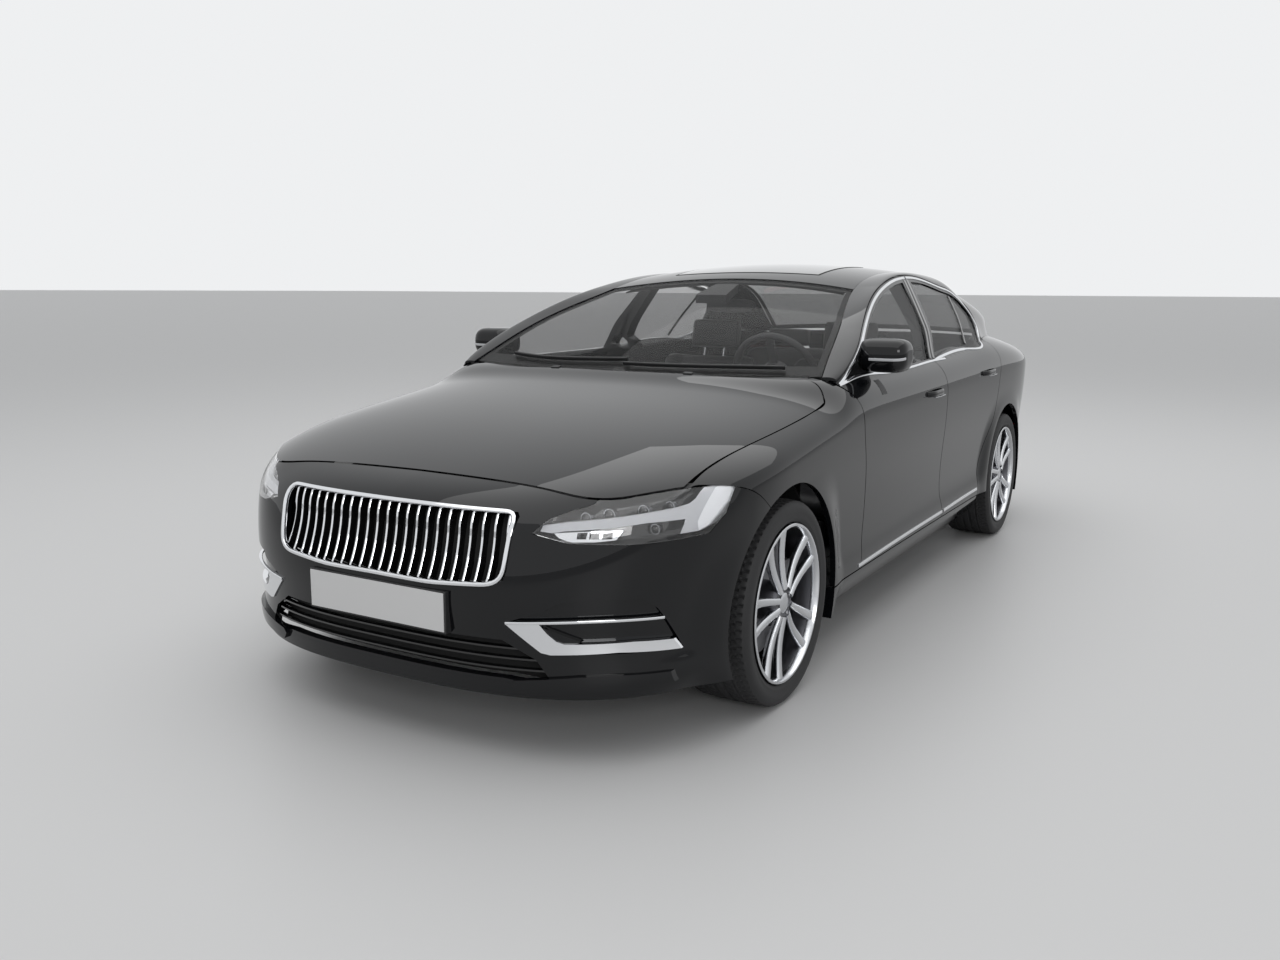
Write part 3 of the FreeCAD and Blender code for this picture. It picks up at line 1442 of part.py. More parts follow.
def make_seat(x):
    """Front seat: base, cushion, back and headrest in one body."""
    s0, low, half = station(seat_share), seat_height, seat_width / 2
    size = (cushion_length, cushion_depth)
    seat, back, head = seat_profile(s0, low, size, back_height, headrest_height, 0.38)
    floor = floor_height + floor_wall + close_gap
    base = Part.makeBox(seat_width * 0.7, cushion_length * 0.8, low - floor + cushion_depth / 3,
                        spot(x - seat_width * 0.35, s0 + cushion_length * 0.1, floor))
    rest = side_prism(head, x - headrest_width / 2, x + headrest_width / 2)
    return side_prism(seat, x - half, x + half).fuse([side_prism(back, x - half, x + half), rest, base])


seat_share = 1.42
bench_width = 1240.0
bench_share = 1.778


def make_bench():
    """Rear bench with its back and two headrests."""
    s0, half = station(bench_share), bench_width / 2
    low = kick_height + 2 * floor_wall - shut_gap + close_gap
    size = (cushion_length * 0.85, cushion_depth)
    seat, back, head = seat_profile(s0, low, size, back_height * 0.9, headrest_height * 0.6, 0.42)
    seat[3] = (seat[3][0], low + floor_wall)
    pieces = [side_prism(back, -half, half)]
    for x in (-seat_offset, seat_offset):
        pieces.append(side_prism(head, x - headrest_width / 2, x + headrest_width / 2))
    return side_prism(seat, -half, half).fuse(pieces)


dash_height = 905.0
dash_depth = 330.0
column_length = 165.0
column_lean = 0.42
wheel_station_share = 1.385
wheel_height_share = 0.665


def on_column(shape):
    """Shape leant with the steering column and carried to the wheel's centre."""
    shape.rotate(FreeCAD.Vector(0, 0, 0), FreeCAD.Vector(1, 0, 0), math.degrees(column_lean) - 90)
    shape.translate(spot(seat_offset, station(wheel_station_share), wheel_height_share * height))
    return shape


def make_dashboard():
    """Dashboard from side to side with the console along the tunnel."""
    s0, top, deep = station(1.175), dash_height, dash_depth
    wide, narrow = sill_inner - 2 * shut_gap, 0.3 * tunnel_width
    dash = [(s0, top - 0.7 * deep), (s0, top), (s0 + deep * 0.9, top + 0.07 * deep),
            (s0 + 1.15 * deep, top - 0.15 * deep), (s0 + deep, top - 0.9 * deep)]
    foot, lid = floor_height + tunnel_height + close_gap, floor_height + 1.9 * tunnel_height
    console = [(s0 + 0.5 * deep, foot), (s0 + 0.5 * deep, top - 0.6 * deep), (s0 + deep, top - 0.6 * deep),
               (s0 + 1.9 * deep, lid), (s0 + 3.3 * deep, lid), (s0 + 3.3 * deep, foot)]
    reach = column_length + close_gap
    socket = Part.makeCylinder(wheel_grip_radius + close_gap, reach, FreeCAD.Vector(0, 0, -reach))
    dashboard = side_prism(dash, -wide, wide).fuse(side_prism(console, -narrow, narrow))
    return dashboard.cut(on_column(socket))


def make_steering_wheel():
    """Rim, three spokes, boss and shaft, turning about the column's axis."""
    ring, grip = wheel_ring_radius, wheel_grip_radius
    centre, up = FreeCAD.Vector(0, 0, 0), FreeCAD.Vector(0, 0, 1)
    boss = Part.makeCylinder(0.36 * ring, 2.4 * grip, FreeCAD.Vector(0, 0, -1.6 * grip))
    shaft = Part.makeCylinder(grip, column_length, FreeCAD.Vector(0, 0, -column_length))
    pieces = [boss, shaft]
    for turn in (0, 180, 270):
        spoke = Part.makeBox(ring, 2.2 * grip, grip * 0.8, FreeCAD.Vector(0, -1.1 * grip, -grip * 0.6))
        spoke.rotate(centre, up, turn)
        pieces.append(spoke)
    return on_column(Part.makeTorus(ring, grip, centre, up).fuse(pieces))


# Wheels


def turned(outline, s):
    """Ring turned about a wheel's axle from a (place across, radius) outline."""
    points = [spot(track / 2 + w, s, hub_height + r) for w, r in outline]
    face = Part.Face(Part.makePolygon(points + points[:1]))
    return face.revolve(spot(0, s, hub_height), FreeCAD.Vector(1, 0, 0), 360)


def make_tyre(s):
    half, tread = tyre_width / 2, tread_width / 2
    middle, shoulder = mix(bead_radius, tyre_radius, 0.4), tyre_radius - 1.4 * tyre_shoulder
    side = [(tread * 0.6, tyre_radius), (tread, tyre_radius - 0.12 * tyre_shoulder), (half * 0.98, shoulder),
            (half, middle), (bead_width / 2, bead_radius)]
    return turned([(-w, r) for w, r in side[::-1]] + side, s)


def make_rim(s):
    """Rim barrel, five pairs of spokes, hub, brake disc and stub axle."""
    outer, half, wall, lip = bead_radius - close_gap, rim_width / 2, rim_wall, rim_lip
    section = [(half, outer), (half, outer - wall), (half - lip, outer - 1.6 * wall),
               (lip - half, outer - 2.2 * wall), (-half, outer - wall), (-half, outer), (lip - half, outer),
               (2 * lip - half, outer - wall), (half - 2 * lip, outer - 0.8 * wall), (half - lip, outer)]
    face = track / 2 + half - spoke_set
    pieces = [crosswise(hub_radius, s, hub_height, face - hub_depth, face - spoke_depth / 3)]
    inner, reach = hub_radius * 0.55, outer - lip - wall / 2
    across = FreeCAD.Vector(1, 0, 0)
    for i in range(2 * spoke_count):
        side = 1 if i % 2 else -1
        foot, tip = side * spoke_spread * 0.5, side * spoke_spread * 1.6
        root, end = spoke_width * 0.36, spoke_width * 0.5
        outline = [(foot - root, inner), (foot + root, inner), (tip + end, reach), (tip - end, reach)]
        back = face - spoke_depth
        spoke = prism(outline, lambda a, r: spot(back, s + a, hub_height + r), across * spoke_depth)
        spoke.rotate(spot(0, s, hub_height), across, 360 / spoke_count * (i // 2))
        pieces.append(spoke)
    middle = track / 2 - disc_offset
    stub_end = track / 2 - stub_length + rim_lip + close_gap
    pieces.append(crosswise(disc_radius, s, hub_height, middle, middle + disc_wall))
    pieces.append(crosswise(hub_radius, s, hub_height, middle, face - hub_depth / 2))
    pieces.append(crosswise(stub_radius, s, hub_height, stub_end, middle + disc_wall / 2))
    return turned(section, s).fuse(pieces)


def write(name, shape):
    shape.exportStep("parts/" + name + ".step")
    print(name, len(shape.Solids), "solids", round(shape.Volume / 1000), "cc", shape.isValid())


def write_pair(name, shape):
    write(name + "_left", shape)
    write(name + "_right", mirrored(shape))


def main():
    os.makedirs("parts", exist_ok=True)
    write("front_bumper", make_front_bumper())
    lamp = make_headlamp()
    write("headlamps", Part.makeCompound([lamp, mirrored(lamp)]))
    write("grille", make_grille())
    write("hood", make_hood())
    write("cowl", make_cowl())
    write_pair("fender", make_fender())
    write_pair("door_front", make_door(front_door_region(), front_window_region())
               .fuse(make_handle(station(handle_shares[0][0]), handle_shares[0][1] * height)))
    write_pair("door_rear", make_door(rear_door_region(), rear_window_region())
               .fuse(make_handle(station(handle_shares[1][0]), handle_shares[1][1] * height)))
    write_pair("window_front", make_pane(front_window_region()))
    write_pair("window_rear", make_pane(rear_window_region()))
    write_pair("mirror", make_mirror())
    write_pair("side_frame", make_side_frame())
    write_pair("quarter", make_quarter())
    write("roof_panel", make_roof())
    write("windscreen", make_screen(screen_foot_share, screen_sweep_share,
                                    header_share - seam_share, header_sweep_share))
    write("rear_glass", make_screen(back_share + seam_share, back_sweep_share,
                                    back_foot_share, back_foot_sweep_share))
    write("trunk_lid", make_trunk_lid())
    write("rear_bumper", make_rear_bumper())
    tail_lamp = make_tail_lamp()
    write("tail_lamps", Part.makeCompound([tail_lamp, mirrored(tail_lamp)]))
    write("floor_pan", make_floor())
    write("engine_block", make_engine())
    write("subframe_front", make_front_subframe())
    write("subframe_rear", make_rear_subframe())
    write_pair("knuckle", make_knuckle())
    write("exhaust", make_exhaust())
    write("fuel_tank", make_tank())
    liners = [make_liner(front_overhang, liner_inner, liner_radius, front_liner_outer),
              make_liner(rear_axle, rear_liner_inner, rear_liner_radius, rear_liner_outer)]
    write("wheel_liners", Part.makeCompound(liners + [mirrored(liner) for liner in liners]))
    write("front_seats", Part.makeCompound([make_seat(seat_offset), make_seat(-seat_offset)]))
    write("rear_bench", make_bench())
    write("dashboard", make_dashboard())
    write("steering_wheel", make_steering_wheel())
    for name, s in (("front", front_overhang), ("rear", rear_axle)):
        write_pair("tyre_" + name, make_tyre(s))
        write_pair("rim_" + name, make_rim(s))


main()
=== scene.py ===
import math

import bpy
import bmesh
import numpy as np
from mathutils import Matrix, Vector


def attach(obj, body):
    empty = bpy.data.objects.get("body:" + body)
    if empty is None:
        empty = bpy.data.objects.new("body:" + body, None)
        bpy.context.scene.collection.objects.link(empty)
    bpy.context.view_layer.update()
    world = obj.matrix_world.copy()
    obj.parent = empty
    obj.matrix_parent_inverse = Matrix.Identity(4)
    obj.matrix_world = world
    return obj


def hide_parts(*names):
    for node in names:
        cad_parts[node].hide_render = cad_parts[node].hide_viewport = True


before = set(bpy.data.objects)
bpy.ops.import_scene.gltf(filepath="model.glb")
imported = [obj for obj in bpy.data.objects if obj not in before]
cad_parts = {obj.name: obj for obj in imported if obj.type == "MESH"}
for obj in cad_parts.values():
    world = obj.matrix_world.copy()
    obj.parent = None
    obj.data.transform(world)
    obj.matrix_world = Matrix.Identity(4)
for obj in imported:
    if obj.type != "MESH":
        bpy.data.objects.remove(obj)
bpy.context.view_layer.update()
print("frame loaded")

# The body's driving sizes in metres. Stations run from the nose to the tail.
car = {
    "frontOverhang": 0.875, "wheelbase": 2.941, "halfWidth": 0.940, "height": 1.443,
    "rearOverhang": 1.147, "track": 1.612, "wheelRadius": 0.332,
    "archRadius": 0.388, "rearArchRadius": 0.386, "shutGap": 0.005, "closeGap": 0.0003,
    "nosePower": 2.8, "tailPower": 3.2, "rollPower": 2.8, "creaseRadius": 0.030,
    "flareBlend": 0.130, "flareShare": 0.996, "beltBlend": 0.150, "crownDrop": 0.011,
    "domeClimb": 0.35,
    "sillBottom": 0.190, "doorBottom": 0.298, "sillInner": 0.742,
    "panelWall": 0.020, "lidWall": 0.024, "bumperWall": 0.030, "doorDepth": 0.105,
    "frameDepth": 0.026, "glassInset": 0.006, "glassWall": 0.005, "doorInset": 0.016, "paneGap": 0.001,
    "paneMargin": 0.034, "postHalf": 0.038,
}
H, W = car["height"], car["halfWidth"]
frontAxle, rearOverhang = car["frontOverhang"], car["rearOverhang"]
rearAxle = frontAxle + car["wheelbase"]
car["length"] = rearAxle + rearOverhang
halfLength = car["length"] / 2
hubZ = car["wheelRadius"]


def mix(a, b, t):
    return a + (b - a) * t


def smoothStep(t):
    t = np.clip(t, 0, 1)
    return t * t * (3 - 2 * t)


def splineThrough(places, values):
    # natural cubic spline through points, straight beyond its ends
    x, y = np.asarray(places, float), np.asarray(values, float)
    h, n = np.diff(x), len(x)
    d = np.diff(y) / h
    system = np.eye(n)
    rest = np.zeros(n)
    for i in range(1, n - 1):
        system[i, i - 1:i + 2] = h[i - 1], 2 * (h[i - 1] + h[i]), h[i]
        rest[i] = 6 * (d[i] - d[i - 1])
    m = np.linalg.solve(system, rest)
    first = d[0] - h[0] * m[1] / 6
    last = d[-1] + h[-1] * m[-2] / 6

    def value(t):
        t = np.asarray(t, float)
        i = np.clip(np.searchsorted(x, t) - 1, 0, n - 2)
        b = (t - x[i]) / h[i]
        a = 1 - b
        v = a * y[i] + b * y[i + 1] + ((a ** 3 - a) * m[i] + (b ** 3 - b) * m[i + 1]) * h[i] ** 2 / 6
        v = np.where(t < x[0], y[0] + first * (t - x[0]), v)
        return np.where(t > x[-1], y[-1] + last * (t - x[-1]), v)

    return value


def station(unit):
    # axle units: 0 nose, 1 front axle, 2 rear axle, 3 tail
    unit = np.asarray(unit, float)
    middle = frontAxle + (unit - 1) * car["wheelbase"]
    behind = np.where(unit < 2, middle, rearAxle + (unit - 2) * rearOverhang)
    s = np.where(unit < 1, unit * frontAxle, behind)
    return s if s.ndim else float(s)


def along(shares, size):
    return splineThrough([station(u) for u, v in shares], [v * size for u, v in shares])


def upward(shares, size):
    return splineThrough([u * H for u, v in shares], [v * size for u, v in shares])


# Master lines of the body, in axle units and shares of its height or half width
lines = {
    "shoulder": [(0.0, 0.4435), (0.217, 0.4657), (0.571, 0.5024), (1.0, 0.5371), (1.145, 0.5738),
                 (1.315, 0.5891), (1.587, 0.6015), (1.893, 0.6154), (2.335, 0.6216),
                 (2.684, 0.6126), (3.0, 0.5932)],
    "crown": [(0.0, 0.4851), (0.137, 0.5211), (0.4, 0.5683), (0.686, 0.6057), (1.009, 0.641),
              (1.094, 0.6667), (1.145, 0.696), (1.189, 0.7485), (1.23, 0.7670), (1.315, 0.7734),
              (1.587, 0.7796), (1.791, 0.7956), (1.898, 0.8053), (2.073, 0.79), (2.437, 0.7498),
              (2.69, 0.7277), (3.0, 0.7138)],
    "hood": [(0.0, 0.5017), (0.229, 0.5419), (0.4, 0.5717), (0.686, 0.6119), (1.009, 0.65),
             (1.111, 0.6854), (1.155, 0.6979), (1.213, 0.7096)],
    "deck": [(2.335, 0.7581), (2.509, 0.7484), (2.69, 0.7318), (2.858, 0.7242), (3.0, 0.7207)],
    "roof": [(1.145, 0.6722), (1.179, 0.7055), (1.213, 0.7387), (1.285, 0.8039), (1.349, 0.8538),
             (1.417, 0.9002), (1.496, 0.9473), (1.587, 0.9827), (1.655, 0.9965), (1.706, 1.0),
             (1.791, 0.9958), (1.859, 0.9841), (1.927, 0.9633), (1.995, 0.9356), (2.16, 0.8926),
             (2.335, 0.8316), (2.448, 0.7845), (2.596, 0.7207)],
    "edge": [(1.179, 0.8511), (1.228, 0.817), (1.285, 0.7819), (1.383, 0.7043), (1.466, 0.6404),
             (1.536, 0.617), (1.655, 0.6053), (1.825, 0.5979), (1.927, 0.6043), (2.03, 0.634),
             (2.248, 0.6809), (2.553, 0.734)],
    "belt": [(1.179, 0.6805), (1.412, 0.6916), (1.587, 0.7034), (1.794, 0.7207), (1.898, 0.736),
             (1.961, 0.7443), (2.117, 0.7415), (2.437, 0.7277), (2.684, 0.6999)],
    "upper": [(1.189, 0.6854), (1.285, 0.781), (1.412, 0.8808), (1.528, 0.9335), (1.637, 0.957),
              (1.733, 0.9508), (1.829, 0.9238), (1.906, 0.8559), (1.93, 0.79)],
    "plan": [(0.0, 1.0), (1.0, 1.0), (1.2, 0.994), (1.4, 0.99), (1.6, 0.99), (1.82, 0.994),
             (2.0, 1.0), (2.5, 0.994), (3.0, 0.985)],
    "sweep": [(1.179, 0.031), (1.35, 0.031), (1.47, 0.024), (1.587, 0.0), (1.82, 0.0),
              (1.93, -0.028), (2.16, -0.055), (2.5, -0.062)],
    "arch": [(1.179, 0.004), (1.4, 0.008), (1.5, 0.016), (1.62, 0.027), (1.82, 0.027),
             (1.96, 0.019), (2.25, 0.012), (2.5, 0.008)],
    "taper": [(1.825, 0.0), (1.893, 0.0032), (1.978, 0.0149), (2.16, 0.0426), (2.437, 0.1277),
              (2.596, 0.2128)],
}
byWidth = ("edge", "plan", "taper")
line = {name: along(shares, W if name in byWidth else H) for name, shares in lines.items()}
sideCurve = splineThrough(*zip((0.0, 0.70), (0.2, 0.900), (0.253, 0.945), (0.306, 0.972), (0.365, 0.985),
                               (0.447, 0.972), (0.553, 0.968), (0.68, 0.976), (0.82, 0.990), (0.94, 0.998),
                               (1.0, 1.0)))
noseSetback = upward([(0.1317, 0.0274), (0.2079, 0.016), (0.2633, 0.0069), (0.3119, 0.0), (0.3742, 0.0091),
                      (0.4435, 0.0343), (0.4913, 0.0663), (0.5267, 0.1143)], frontAxle)
tailSetback = upward([(0.1386, 0.0523), (0.2079, 0.0174), (0.2911, 0.0), (0.3881, 0.0044),
                      (0.4851, 0.0218), (0.5891, 0.0453), (0.6584, 0.061), (0.7207, 0.0872)], rearOverhang)
glass = {"share": 0.9404, "lean": 0.7676, "bend": 0.6646, "foot": 0.6895}
cowlStation, bootStation = station(1.192), station(2.475)


def softLower(a, b, blend):
    # lower of two heights, rounded where they cross
    t = np.clip(0.5 + 0.5 * (b - a) / blend, 0, 1)
    return mix(b, a, t) - blend * t * (1 - t)


def endReach(s, z):
    front = s < frontAxle
    reach = np.where(front, frontAxle - noseSetback(z), rearOverhang - tailSetback(z))
    return reach, np.where(front, car["nosePower"], car["tailPower"])


def endShare(s, z):
    # how far the plan has narrowed beyond an axle: a superellipse
    beyond = np.maximum(np.maximum(frontAxle - s, s - rearAxle), 0.0)
    reach, power = endReach(s, z)
    return np.maximum(0.0, 1 - (beyond / reach) ** power) ** (1 / power)


def domeHeight(s, x):
    front = s < (frontAxle + rearAxle) / 2
    base = np.where(front, line["hood"](np.minimum(s, cowlStation)), line["deck"](np.maximum(s, bootStation)))
    past = np.maximum(0.0, np.where(front, s - cowlStation, bootStation - s))
    return base - car["crownDrop"] * H * (x / W) ** 2 + past * car["domeClimb"]


def rolled(s, x):
    # height of the hood or deck over a place
    s, x = np.broadcast_arrays(np.asarray(s, float), np.asarray(x, float))
    rise = line["shoulder"](s)
    share = np.minimum(1.0, np.abs(x) / (line["plan"](s) * endShare(s, rise)))
    roll = (line["crown"](s) - rise) * (1 - share ** car["rollPower"]) ** (1 / car["rollPower"])
    return softLower(domeHeight(s, x), rise + roll, car["creaseRadius"])


def flared(share, s, z):
    axle = np.where(s < (frontAxle + rearAxle) / 2, frontAxle, rearAxle)
    beyond = np.hypot(s - axle, z - hubZ) - car["archRadius"]
    fade = smoothStep(1 - beyond / car["flareBlend"])
    return mix(share, np.maximum(share, car["flareShare"]), fade)


def sideWidth(s, z):
    # half width of the lower body at a station and height
    s, z = np.broadcast_arrays(np.asarray(s, float), np.asarray(z, float))
    rise, power = line["shoulder"](s), car["rollPower"]
    low = flared(sideCurve(z / rise), s, z)
    fullness = np.clip((z - rise) / (line["crown"](s) - rise), 0, 0.999)
    high = (1 - fullness ** power) ** (1 / power)
    return line["plan"](s) * np.where(z <= rise, low, high) * endShare(s, z)


def bodyPoint(m, level):
    # m runs round the body from nose to tail, level up its section in metres
    m, level = np.broadcast_arrays(np.asarray(m, float), np.asarray(level, float))
    c = level / H
    ahead = m < frontAxle
    centre = np.where(ahead, frontAxle, rearAxle)
    beyond = np.maximum(np.maximum(frontAxle - m, m - rearAxle), 0.0)
    turn = beyond / W
    past = beyond > 0
    wrapped = np.where(ahead, frontAxle * (1 - np.sin(turn)), rearAxle + rearOverhang * np.sin(turn))
    s = np.where(past, wrapped, m)
    p = car["rollPower"]
    for step in range(5):
        rise = line["shoulder"](s)
        roll = line["crown"](s) - rise
        angle = np.clip((c - 1) * rise / roll, 0, math.pi / 2)
        sine, cosine = np.sin(angle), np.maximum(np.cos(angle), 0)
        radius = (sine ** p + cosine ** p) ** (-1 / p)
        z = np.where(c <= 1, c * rise, rise + roll * radius * sine)
        share = np.where(c <= 1, flared(sideCurve(np.minimum(c, 1)), s, c * rise), radius * cosine)
        x = line["plan"](s) * share
        reach, power = endReach(s, z)
        across, onward = np.cos(turn) / np.maximum(x, car["closeGap"]), np.sin(turn) / reach
        far = (np.abs(across) ** power + np.abs(onward) ** power) ** (-1 / power)
        x = np.where(past, far * np.cos(turn), x)
        s = np.where(past, centre + np.where(ahead, -far, far) * np.sin(turn), s)
    z = np.where(c > 1, softLower(domeHeight(s, x), z, car["creaseRadius"]), z)
    return x, s, z


def around(x, s):
    front = frontAxle - W * np.arctan2(frontAxle - s, x)
    back = rearAxle + W * np.arctan2(s - rearAxle, x)
    return np.where(s < frontAxle, front, np.where(s > rearAxle, back, s))


def sectionLevel(s, z):
    s, z = np.broadcast_arrays(np.asarray(s, float), np.asarray(z, float))
    rise, p = line["shoulder"](s), car["rollPower"]
    roll = line["crown"](s) - rise
    fullness = np.clip((z - rise) / roll, 0, 0.999)
    share = (1 - fullness ** p) ** (1 / p)
    return np.where(z <= rise, z / rise, 1 + np.arctan2(fullness, share) * roll / rise) * H


def sideSpot(s, z):
    return around(sideWidth(s, z), s), sectionLevel(s, z)


def topSpot(s, x):
    s, x = np.broadcast_arrays(np.asarray(s, float), np.asarray(x, float))
    rise, p = line["shoulder"](s), car["rollPower"]
    z = rise
    for step in range(4):
        share = np.minimum(0.9999, x / (line["plan"](s) * endShare(s, z)))
        z = rise + (line["crown"](s) - rise) * (1 - share ** p) ** (1 / p)
    return around(x, s), sectionLevel(s, z)


def glassWidth(s, z):
    # half width of the leaning side glass, eased into the body at the belt
    s, z = np.broadcast_arrays(np.asarray(s, float), np.asarray(z, float))

    def leaning(level):
        climb = level / H - glass["foot"]
        return W * (glass["share"] - glass["lean"] * climb - glass["bend"] * climb ** 2) - line["taper"](s)

    belt = line["belt"](s)
    fade = smoothStep(1 - np.maximum(0.0, z - belt) / car["beltBlend"])
    return leaning(z) + (sideWidth(s, belt) - leaning(belt)) * fade


def sideX(s, z):
    return np.where(z <= line["belt"](s), sideWidth(s, z), glassWidth(s, z))


def roofHeight(s, x):
    across = x / line["edge"](s)
    return line["roof"](s - line["sweep"](s) * across ** 2) - line["arch"](s) * across ** 2


def spot(x, s, z):
    x, s, z = np.broadcast_arrays(x, s, z)
    return np.stack([x, s - halfLength, z], -1)


# Curves and regions, as arrays of the two shares a and b


def lengthShares(points):
    steps = np.diff(np.asarray(points, float), axis=0)
    steps = np.hypot(*steps.T) if len(points[0]) == 2 else np.linalg.norm(steps, axis=1)
    travelled = np.concatenate([[0], np.cumsum(steps)])
    return travelled / travelled[-1]


def path(points):
    # smooth curve through points by the share of its length
    shares = lengthShares(points)
    curves = [splineThrough(shares, [p[k] for p in points]) for k in range(len(points[0]))]
    return lambda t: tuple(curve(t) for curve in curves)


def patch(bottom, top, left, right):
    # plane region inside four boundary curves: a Coons patch
    corners = [np.array(bottom(0)), np.array(bottom(1)), np.array(top(0)), np.array(top(1))]

    def point(a, b):
        low, high, near, far = bottom(a), top(a), left(b), right(b)
        result = []
        for k in range(2):
            ruled = mix(low[k], high[k], b) + mix(near[k], far[k], a)
            square = mix(mix(corners[0][k], corners[1][k], a), mix(corners[2][k], corners[3][k], a), b)
            result.append(ruled - square)
        return result

    return point


def sampled(points, count=12):
    return list(zip(*[v.tolist() for v in path(points)(np.linspace(0, 1, count))]))


def moved(points, ds, dz=0.0):
    return [(s + ds, z + dz) for s, z in points]


def shrunk(region, nearA, farA, nearB, farB):
    return lambda a, b: region(mix(nearA, 1 - farA, a), mix(nearB, 1 - farB, b))


def sidePlaces(shares):
    return [(station(u), v * H) for u, v in shares]


def planPlaces(shares):
    return [(v * W, station(u)) for v, u in shares]


seams = {
    "hoodFront": planPlaces([(0.0, 0.232), (0.32, 0.228), (0.52, 0.224), (0.64, 0.232), (0.715, 0.272),
                             (0.775, 0.334), (0.858, 0.443)]),
    "hoodSide": planPlaces([(0.858, 0.443), (0.866, 0.62), (0.887, 0.85), (0.906, 1.045), (0.913, 1.146)]),
    "hoodRear": planPlaces([(0.913, 1.146), (0.86, 1.170), (0.79, 1.181), (0.64, 1.1685), (0.32, 1.158),
                            (0.0, 1.1555)]),
    "bumperSide": sidePlaces([(0.60, 0.5285), (0.70, 0.507), (0.80, 0.465)]),
    "doorFront": sidePlaces([(1.231, 0.2065), (1.247, 0.262), (1.253, 0.33), (1.248, 0.405), (1.2347, 0.482),
                             (1.2185, 0.56), (1.209, 0.623), (1.199, 0.6604), (1.189, 0.687)]),
    "doorSplit": sidePlaces([(1.608, 0.2065), (1.596, 0.45), (1.5865, 0.62), (1.584, 0.706), (1.606, 0.82),
                             (1.641, 0.957)]),
    "doorRear": sidePlaces([(1.824, 0.2065), (1.828, 0.28), (1.869, 0.409), (1.906, 0.49), (1.916, 0.604),
                            (1.925, 0.693), (1.93, 0.79)]),
    "windowFoot": sidePlaces([(1.222, 0.6983), (1.35, 0.6995), (1.585, 0.7062)]),
    "rearWindowFoot": sidePlaces([(1.592, 0.707), (1.794, 0.7235), (1.898, 0.747), (1.922, 0.775)]),
    "lidSide": planPlaces([(0.735, 2.535), (0.70, 2.72), (0.655, 2.86), (0.63, 2.9)]),
    "bumperLine": sidePlaces([(2.1, 0.375), (2.28, 0.40), (2.45, 0.455), (2.72, 0.468), (3.2, 0.47)]),
}


# Meshes


def around360(count):
    return np.linspace(0, 2 * math.pi, count, endpoint=False)


def gridQuads(rows, columns, start=0, wrap=False):
    # quads of a grid of rows by columns; wrap joins the last column to the first
    i, j = np.meshgrid(np.arange(rows - 1), np.arange(columns if wrap else columns - 1), indexing="ij")
    k = (j + 1) % columns
    quads = np.stack([i * columns + j, i * columns + k, (i + 1) * columns + k, (i + 1) * columns + j], -1)
    return quads.reshape(-1, 4) + start


def meshFrom(name, points, quads):
    points, quads = np.asarray(points, float).reshape(-1, 3), np.asarray(quads, int)
    a, b, c, d = (points[quads[:, k]] for k in range(4))
    volume = np.einsum("ij,ij->", a, np.cross(b, c)) + np.einsum("ij,ij->", a, np.cross(c, d))
    if volume < 0:
        quads = quads[:, ::-1]
    mesh = bpy.data.meshes.new(name)
    mesh.vertices.add(len(points))
    mesh.vertices.foreach_set("co", points.astype(np.float32).ravel())
    mesh.loops.add(quads.size)
    mesh.loops.foreach_set("vertex_index", quads.astype(np.int32).ravel())
    mesh.polygons.add(len(quads))
    mesh.polygons.foreach_set("loop_start", np.arange(len(quads), dtype=np.int32) * 4)
    mesh.update(calc_edges=True)
    mesh.validate()
    return mesh


def place(name, mesh, material=None, body="root", angle=32):
    obj = bpy.data.objects.new(name, mesh)
    bpy.context.collection.objects.link(obj)
    soften(mesh, angle)
    if material:
        mesh.materials.clear()
        mesh.materials.append(material)
    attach(obj, body)
    return obj


def soften(mesh, angle=32):
    mesh.shade_smooth()
    mesh.set_sharp_from_angle(angle=math.radians(angle))


def slabMesh(name, outer, inner):
    # closed wall between two sheets of points on the same grid
    rows, columns = outer.shape[:2]
    n = rows * columns
    index = np.arange(n).reshape(rows, columns)
    ring = np.concatenate([index[:-1, 0], index[-1, :-1], index[:0:-1, -1], index[0, :0:-1]])
    nextRing = np.roll(ring, -1)
    rims = np.stack([ring, nextRing, nextRing + n, ring + n], -1)[:, ::-1]
    quads = np.concatenate([gridQuads(rows, columns), gridQuads(rows, columns, n)[:, ::-1], rims])
    return meshFrom(name, np.concatenate([outer.reshape(-1, 3), inner.reshape(-1, 3)]), quads)


def shares(rows, columns):
    return np.meshgrid(np.linspace(0, 1, rows), np.linspace(0, 1, columns), indexing="ij")


def prismMesh(name, outline, axis, low, high):
    # block of a plane outline, in the two other axes, between two places on one axis
    points = np.asarray(outline, float)
    n = len(points)
    ends = [np.insert(points, axis, level, axis=1) for level in (low, high)]
    mesh = bpy.data.meshes.new(name)
    ring = [list(range(n))[::-1], list(range(n, 2 * n))]
    sides = [[i, (i + 1) % n, n + (i + 1) % n, n + i] for i in range(n)]
    mesh.from_pydata(np.concatenate(ends).tolist(), [], ring + sides)
    fixNormals(mesh)
    return mesh


def fixNormals(mesh):
    work = bmesh.new()
    work.from_mesh(mesh)
    bmesh.ops.recalc_face_normals(work, faces=work.faces)
    work.to_mesh(mesh)
    work.free()


# cutters reach this far across the car, and this far past its ends
cutter = {"across": 1.2, "room": 0.2, "tail": 0.4, "plates": 0.6}


def sideCutter(outline, x0=0.0, x1=cutter["across"]):
    # cutter across the car over a (station, height) outline
    return prismMesh("cutter", [(s - halfLength, z) for s, z in outline], 0, x0, x1)


def frontCutter(outline, s0, s1):
    # cutter along the car over a (half width, height) outline
    return prismMesh("cutter", outline, 1, s0 - halfLength, s1 - halfLength)


def wheelCutter(s, radius, x0=0.0, x1=cutter["across"], count=96):
    turn = around360(count)
    return sideCutter(np.stack([s + radius * np.cos(turn), hubZ + radius * np.sin(turn)], -1), x0, x1)


